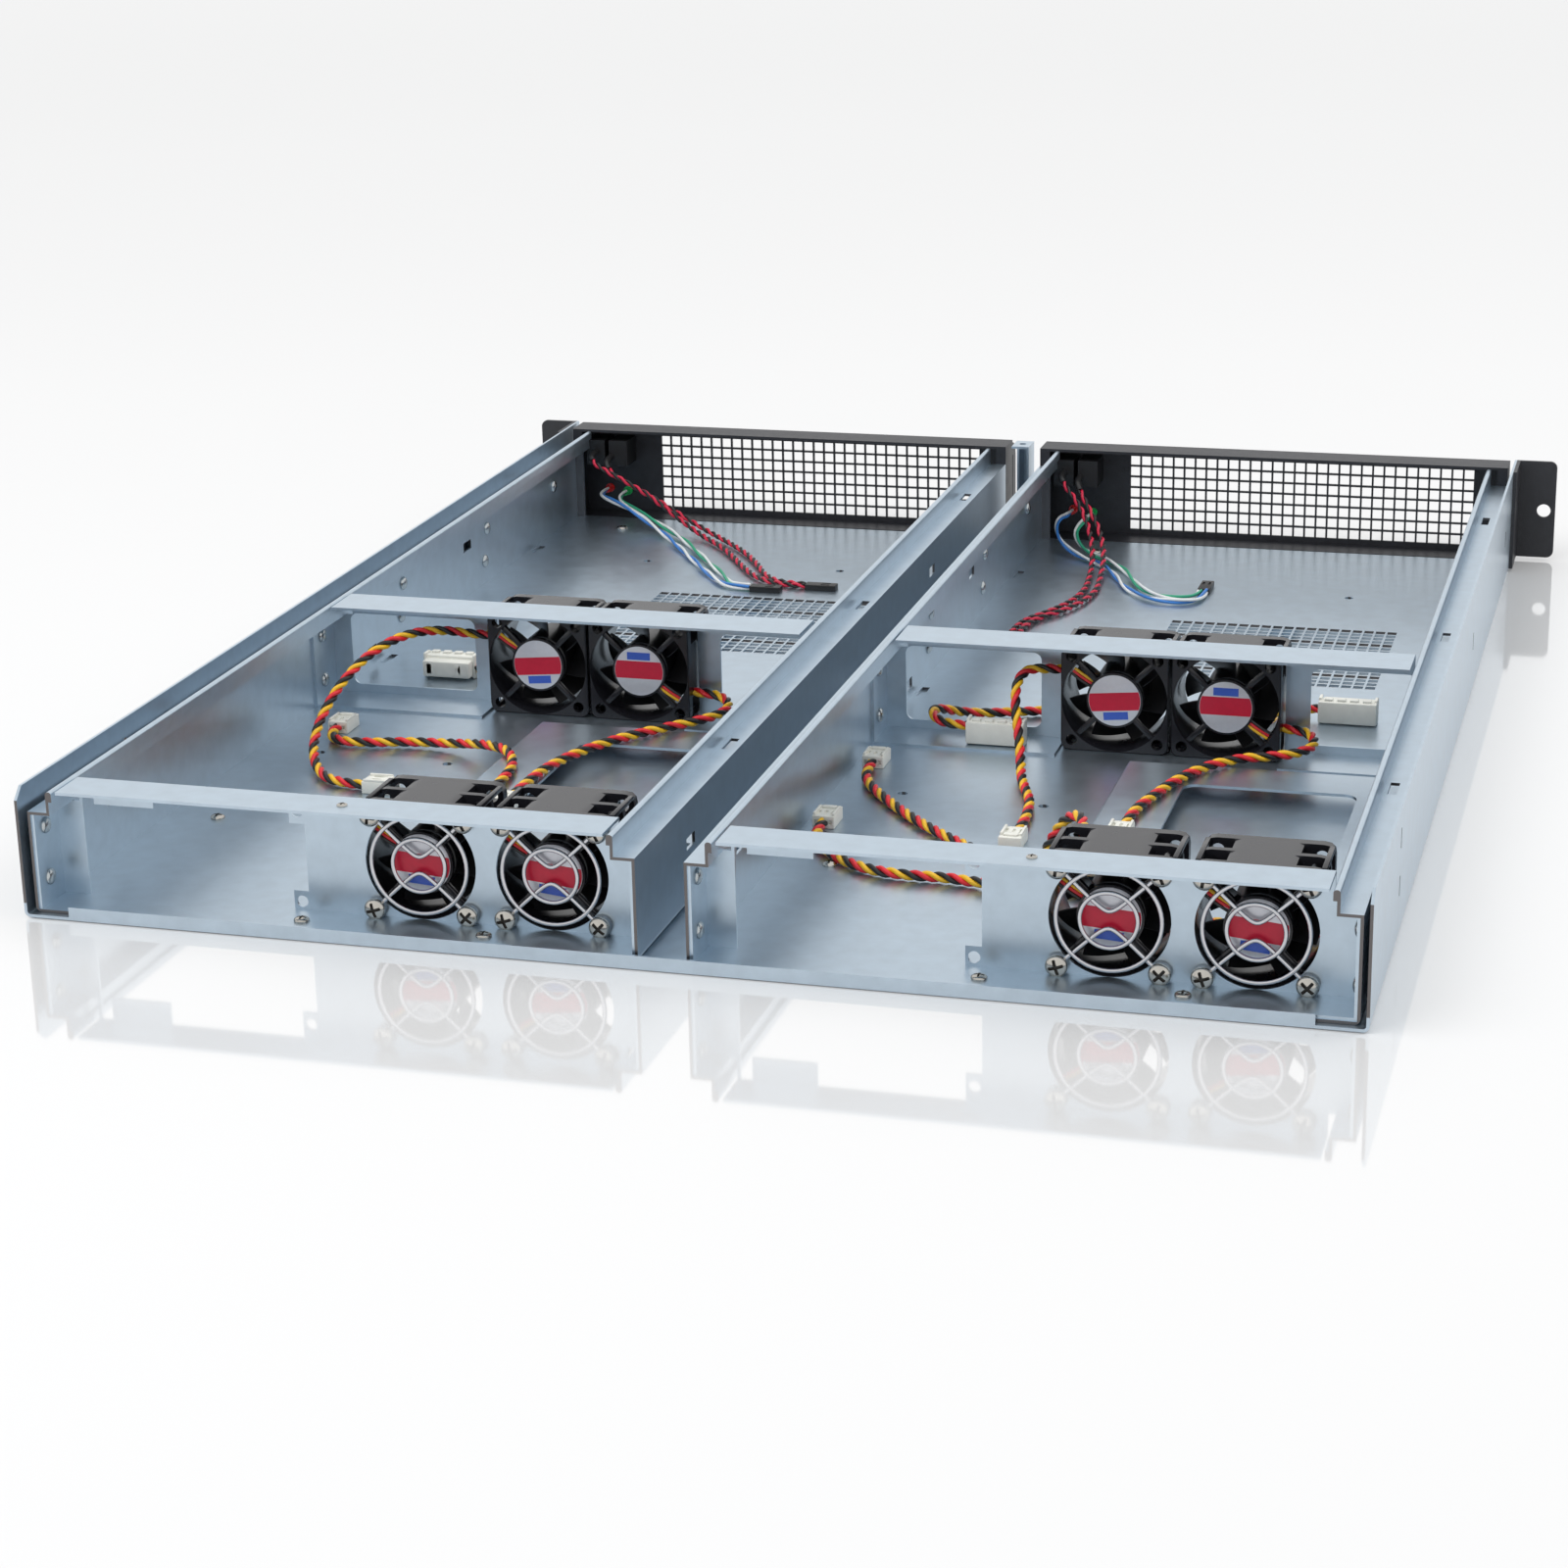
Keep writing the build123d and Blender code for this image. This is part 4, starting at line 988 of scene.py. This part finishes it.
lamp_radius = 1.5
collar_radius = 2.1
collar_low, collar_high = 3.2, 2.2
lamp_spots = ((13.0, 13.0, "red", lens_red), (22.0, 12.0, "green", lens_green))
for side in SIDES:
    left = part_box(f"node_chassis_{side}")[0].x / MM
    low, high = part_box(f"status_leds_{side}")
    length = (high.y - low.y) / MM
    straight = length - lamp_radius
    for dx, z, color, lens in lamp_spots:
        dome = [(lamp_radius, 0), (lamp_radius, straight)]
        for angle in (0.4, 0.8, 1.2, 1.5):
            dome.append((lamp_radius * cos(angle), straight + lamp_radius * sin(angle)))
        lamp = Shape().add(*turned(dome, 24), place=TO_FRONT)
        collar = ((collar_radius, length - collar_low), (collar_radius, length - collar_high))
        lamp.add(*turned(collar, 24), place=TO_FRONT)
        shape = lamp.mesh("lamp_shape")
        at = (left + dx, low.y / MM, z)
        piece = set_out(f"lamp_{color}_{side}", shape, [lens], f"node_{side}", at)
        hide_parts(f"status_leds_{side}")


# Rivets, small screws and the fine bars of the floor vents

# Spots on the walls are pairs of y and z, spots on the floor and the beam pairs of x and y. They are
# taken from the node's left side, from the tray's rear edge and from the ground.
flange_rivets = [(y, z) for y in (10.0, 239.5) for z in (11.0, 29.0)]
flange_inset = 2.0
wall_rivets = ((322.0, 14.0), (326.0, 27.0), (420.0, 12.0), (424.0, 26.0), (512.0, 24.0))
sheet_thick = 1.0
beam_spots = ((108.0, 11.0),)
flange_spots = ((92.0, 9.0), (155.0, 9.0))
floor_spots = ((30.0, 524.0), (196.0, 330.0), (20.0, 100.0))
vent_left = 82.0
vent_rear = 338.0
vent_gap = 8.0
vent_cell = 18.8
vent_hole = 3.8
vent_bar = 0.9
vent_parts = 7


def vent_lattice_mesh(low_z, high_z):
    """Crossing bars that divide one cell of the floor vent into sixteen square holes."""
    edges = [0.0]
    for part in range(vent_parts):
        edges.append(edges[-1] + (vent_hole if part % 2 == 0 else vent_bar))
    middle = edges[-1] / 2
    count = len(edges)
    points = [(x - middle, y - middle, z) for z in (low_z, high_z) for y in edges for x in edges]
    level = count * count

    def solid(i, j):
        inside = 0 <= i < vent_parts and 0 <= j < vent_parts
        return inside and (i % 2 == 1 or j % 2 == 1)

    faces = []
    for j in range(vent_parts):
        for i in range(vent_parts):
            if not solid(i, j):
                continue
            a = j * count + i
            b, c, d = a + 1, a + count + 1, a + count
            faces.append((a, d, c, b))
            faces.append((level + a, level + b, level + c, level + d))
            for di, dj, p, q in ((0, -1, a, b), (1, 0, b, c), (0, 1, c, d), (-1, 0, d, a)):
                if not solid(i + di, j + dj):
                    faces.append((p, q, level + q, level + p))
    return points, faces


def scatter(name, mesh, finishes, body, spots, turn):
    """One piece made of copies of a small mesh at several spots."""
    work = bmesh.new()
    for spot in spots:
        copy = mesh.copy()
        copy.transform(Matrix.Translation(Vector(spot) * MM) @ turn)
        work.from_mesh(copy)
        bpy.data.meshes.remove(copy)
    made = bpy.data.meshes.new(name + "_shape")
    work.to_mesh(made)
    work.free()
    made.shade_smooth()
    made.set_sharp_from_angle(angle=radians(SHARP))
    return set_out(name, made, finishes, body)


for side in SIDES:
    low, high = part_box(f"node_chassis_{side}")
    left, right = low.x / MM, high.x / MM
    floor = low.z / MM + sheet_thick
    beam_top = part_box(f"rear_panel_{side}")[1].z / MM
    body = f"node_{side}"
    for name, x, spots, turn in (
        ("rivets_left", left + flange_inset, flange_rivets, TO_RIGHT),
        ("rivets_right", right - flange_inset, flange_rivets, TO_LEFT),
        ("wall_rivets_left", left + sheet_thick, wall_rivets, TO_RIGHT),
        ("wall_rivets_right", right - sheet_thick, wall_rivets, TO_LEFT),
    ):
        places = [(x, rear_y + y, z) for y, z in spots]
        scatter(f"{name}_{side}", rivet_mesh, [rivet_steel], body, places, turn)
    for name, shape, z, spots in (
        ("beam_screws", beam_screw, beam_top, beam_spots),
        ("flange_screws", small_screw, floor + sheet_thick, flange_spots),
        ("floor_screws", small_screw, floor, floor_spots),
    ):
        places = [(left + x, rear_y + y, z) for x, y in spots]
        scatter(f"{name}_{side}", shape, steel_and_recess_shade, body, places, Matrix.Identity(4))
    lattice = Shape()
    cell = vent_lattice_mesh(low.z / MM, floor)
    for group in range(2):
        group_rear = rear_y + vent_rear + group * (2 * vent_cell + vent_gap)
        for row in range(2):
            for column in range(5):
                x = left + vent_left + vent_cell * (column + 0.5)
                y = group_rear + vent_cell * (row + 0.5)
                lattice.add(*cell, place=Matrix.Translation((x, y, 0)))
    set_out(f"vent_bars_{side}", lattice.mesh("vent_bars_shape"), [sheet], body)


# Camera, floor and light. The camera's figures come from the fit to the photograph: its focal length
# in pixels, its angles in radians, and its spot in millimetres, measured as the leads' routes are.

focal_px = 3433.78
photo_px = 1600.0
camera_yaw = -0.28318
camera_pitch = 0.32459
camera_roll = -0.02211
camera_spot = (311.9, -928.6, 390.3)
sensor = 36.0
floor_half = 12.0
floor_drop = 0.0004
floor_glow = 0.07
sky_strength = 0.8

camera = bpy.data.objects.new("camera", bpy.data.cameras.new("camera"))
scene.collection.objects.link(camera)
level = cos(camera_pitch)
ahead = Vector((sin(camera_yaw) * level, cos(camera_yaw) * level, -sin(camera_pitch)))
across = Vector((cos(camera_yaw), -sin(camera_yaw), 0))
above = across.cross(ahead)
rolled = across * cos(camera_roll) + above * sin(camera_roll)
upright = above * cos(camera_roll) - across * sin(camera_roll)
camera.matrix_world = Matrix.Translation(
    (camera_spot[0] * MM, (rear_y + camera_spot[1]) * MM, camera_spot[2] * MM)
) @ Matrix((rolled, upright, -ahead)).transposed().to_4x4()
camera.data.sensor_width = sensor
camera.data.lens = focal_px / photo_px * sensor
camera.data.clip_start = 0.01
camera.data.clip_end = 50.0
scene.camera = camera


def backdrop_rays(tree):
    """A socket that is 1 for camera, glossy and transmission rays, and 0 for the others."""
    rays = tree.nodes.new("ShaderNodeLightPath").outputs
    seen = math_node(tree, "MAXIMUM", rays["Is Camera Ray"], rays["Is Glossy Ray"])
    return math_node(tree, "MAXIMUM", seen, rays["Is Transmission Ray"])


# The floor lies just under the case, so that no two surfaces share a plane. It glows a little, for the
# camera and in mirrors only.
floor_mesh = bpy.data.meshes.new("floor")
corners = [(x * floor_half, y * floor_half, 0) for x, y in ((-1, -1), (1, -1), (1, 1), (-1, 1))]
floor_mesh.from_pydata(corners, [], [(0, 1, 2, 3)])
floor_piece = bpy.data.objects.new("floor", floor_mesh)
floor_piece.location.z = -floor_drop
scene.collection.objects.link(floor_piece)
floor_finish = bpy.data.materials.new("floor")
floor_finish.use_nodes = True
floor_tree = floor_finish.node_tree
floor_shader = floor_tree.nodes["Principled BSDF"]
floor_shader.inputs["Base Color"].default_value = (0.74, 0.74, 0.74, 1)
floor_shader.inputs["Roughness"].default_value = 0.05
floor_shader.inputs["IOR"].default_value = 2.6
glow = math_node(floor_tree, "MULTIPLY", backdrop_rays(floor_tree), floor_glow)
floor_tree.links.new(glow, floor_shader.inputs["Emission Strength"])
floor_shader.inputs["Emission Color"].default_value = (1, 1, 1, 1)
floor_mesh.materials.append(floor_finish)

# The sky lights the case softly, and the camera and mirrors see plain white in its place.
world = bpy.data.worlds.new("studio")
scene.world = world
world.use_nodes = True
sky = world.node_tree
backdrop = sky.nodes["Background"]
direction = sky.nodes.new("ShaderNodeTexCoord")
height = sky.nodes.new("ShaderNodeSeparateXYZ")
sky.links.new(direction.outputs["Generated"], height.inputs["Vector"])
fade = sky.nodes.new("ShaderNodeValToRGB")
fade.color_ramp.elements[0].position = 0.0
fade.color_ramp.elements[0].color = (0.55, 0.57, 0.60, 1)
fade.color_ramp.elements[1].position = 0.8
fade.color_ramp.elements[1].color = (1, 1, 1, 1)
sky.links.new(height.outputs["Z"], fade.inputs["Fac"])
sky.links.new(fade.outputs["Color"], backdrop.inputs["Color"])
backdrop.inputs["Strength"].default_value = sky_strength
white = sky.nodes.new("ShaderNodeBackground")
white.inputs["Color"].default_value = (1, 1, 1, 1)
choice = sky.nodes.new("ShaderNodeMixShader")
sky.links.new(backdrop_rays(sky), choice.inputs["Fac"])
sky.links.new(backdrop.outputs["Background"], choice.inputs[1])
sky.links.new(white.outputs["Background"], choice.inputs[2])
sky.links.new(choice.outputs["Shader"], sky.nodes["World Output"].inputs["Surface"])

for name, spot, size, energy in (
    ("key_light", (-0.9, -0.9, 1.9), 1.6, 22.0),
    ("fill_light", (1.3, 0.2, 1.5), 1.2, 9.0),
):
    light_data = bpy.data.lights.new(name, "AREA")
    light_data.size = size
    light_data.energy = energy
    light = bpy.data.objects.new(name, light_data)
    light.location = spot
    light.visible_glossy = False
    light.rotation_euler = (-Vector(spot)).to_track_quat("-Z", "Y").to_euler()
    scene.collection.objects.link(light)

scene.view_settings.view_transform = "Standard"
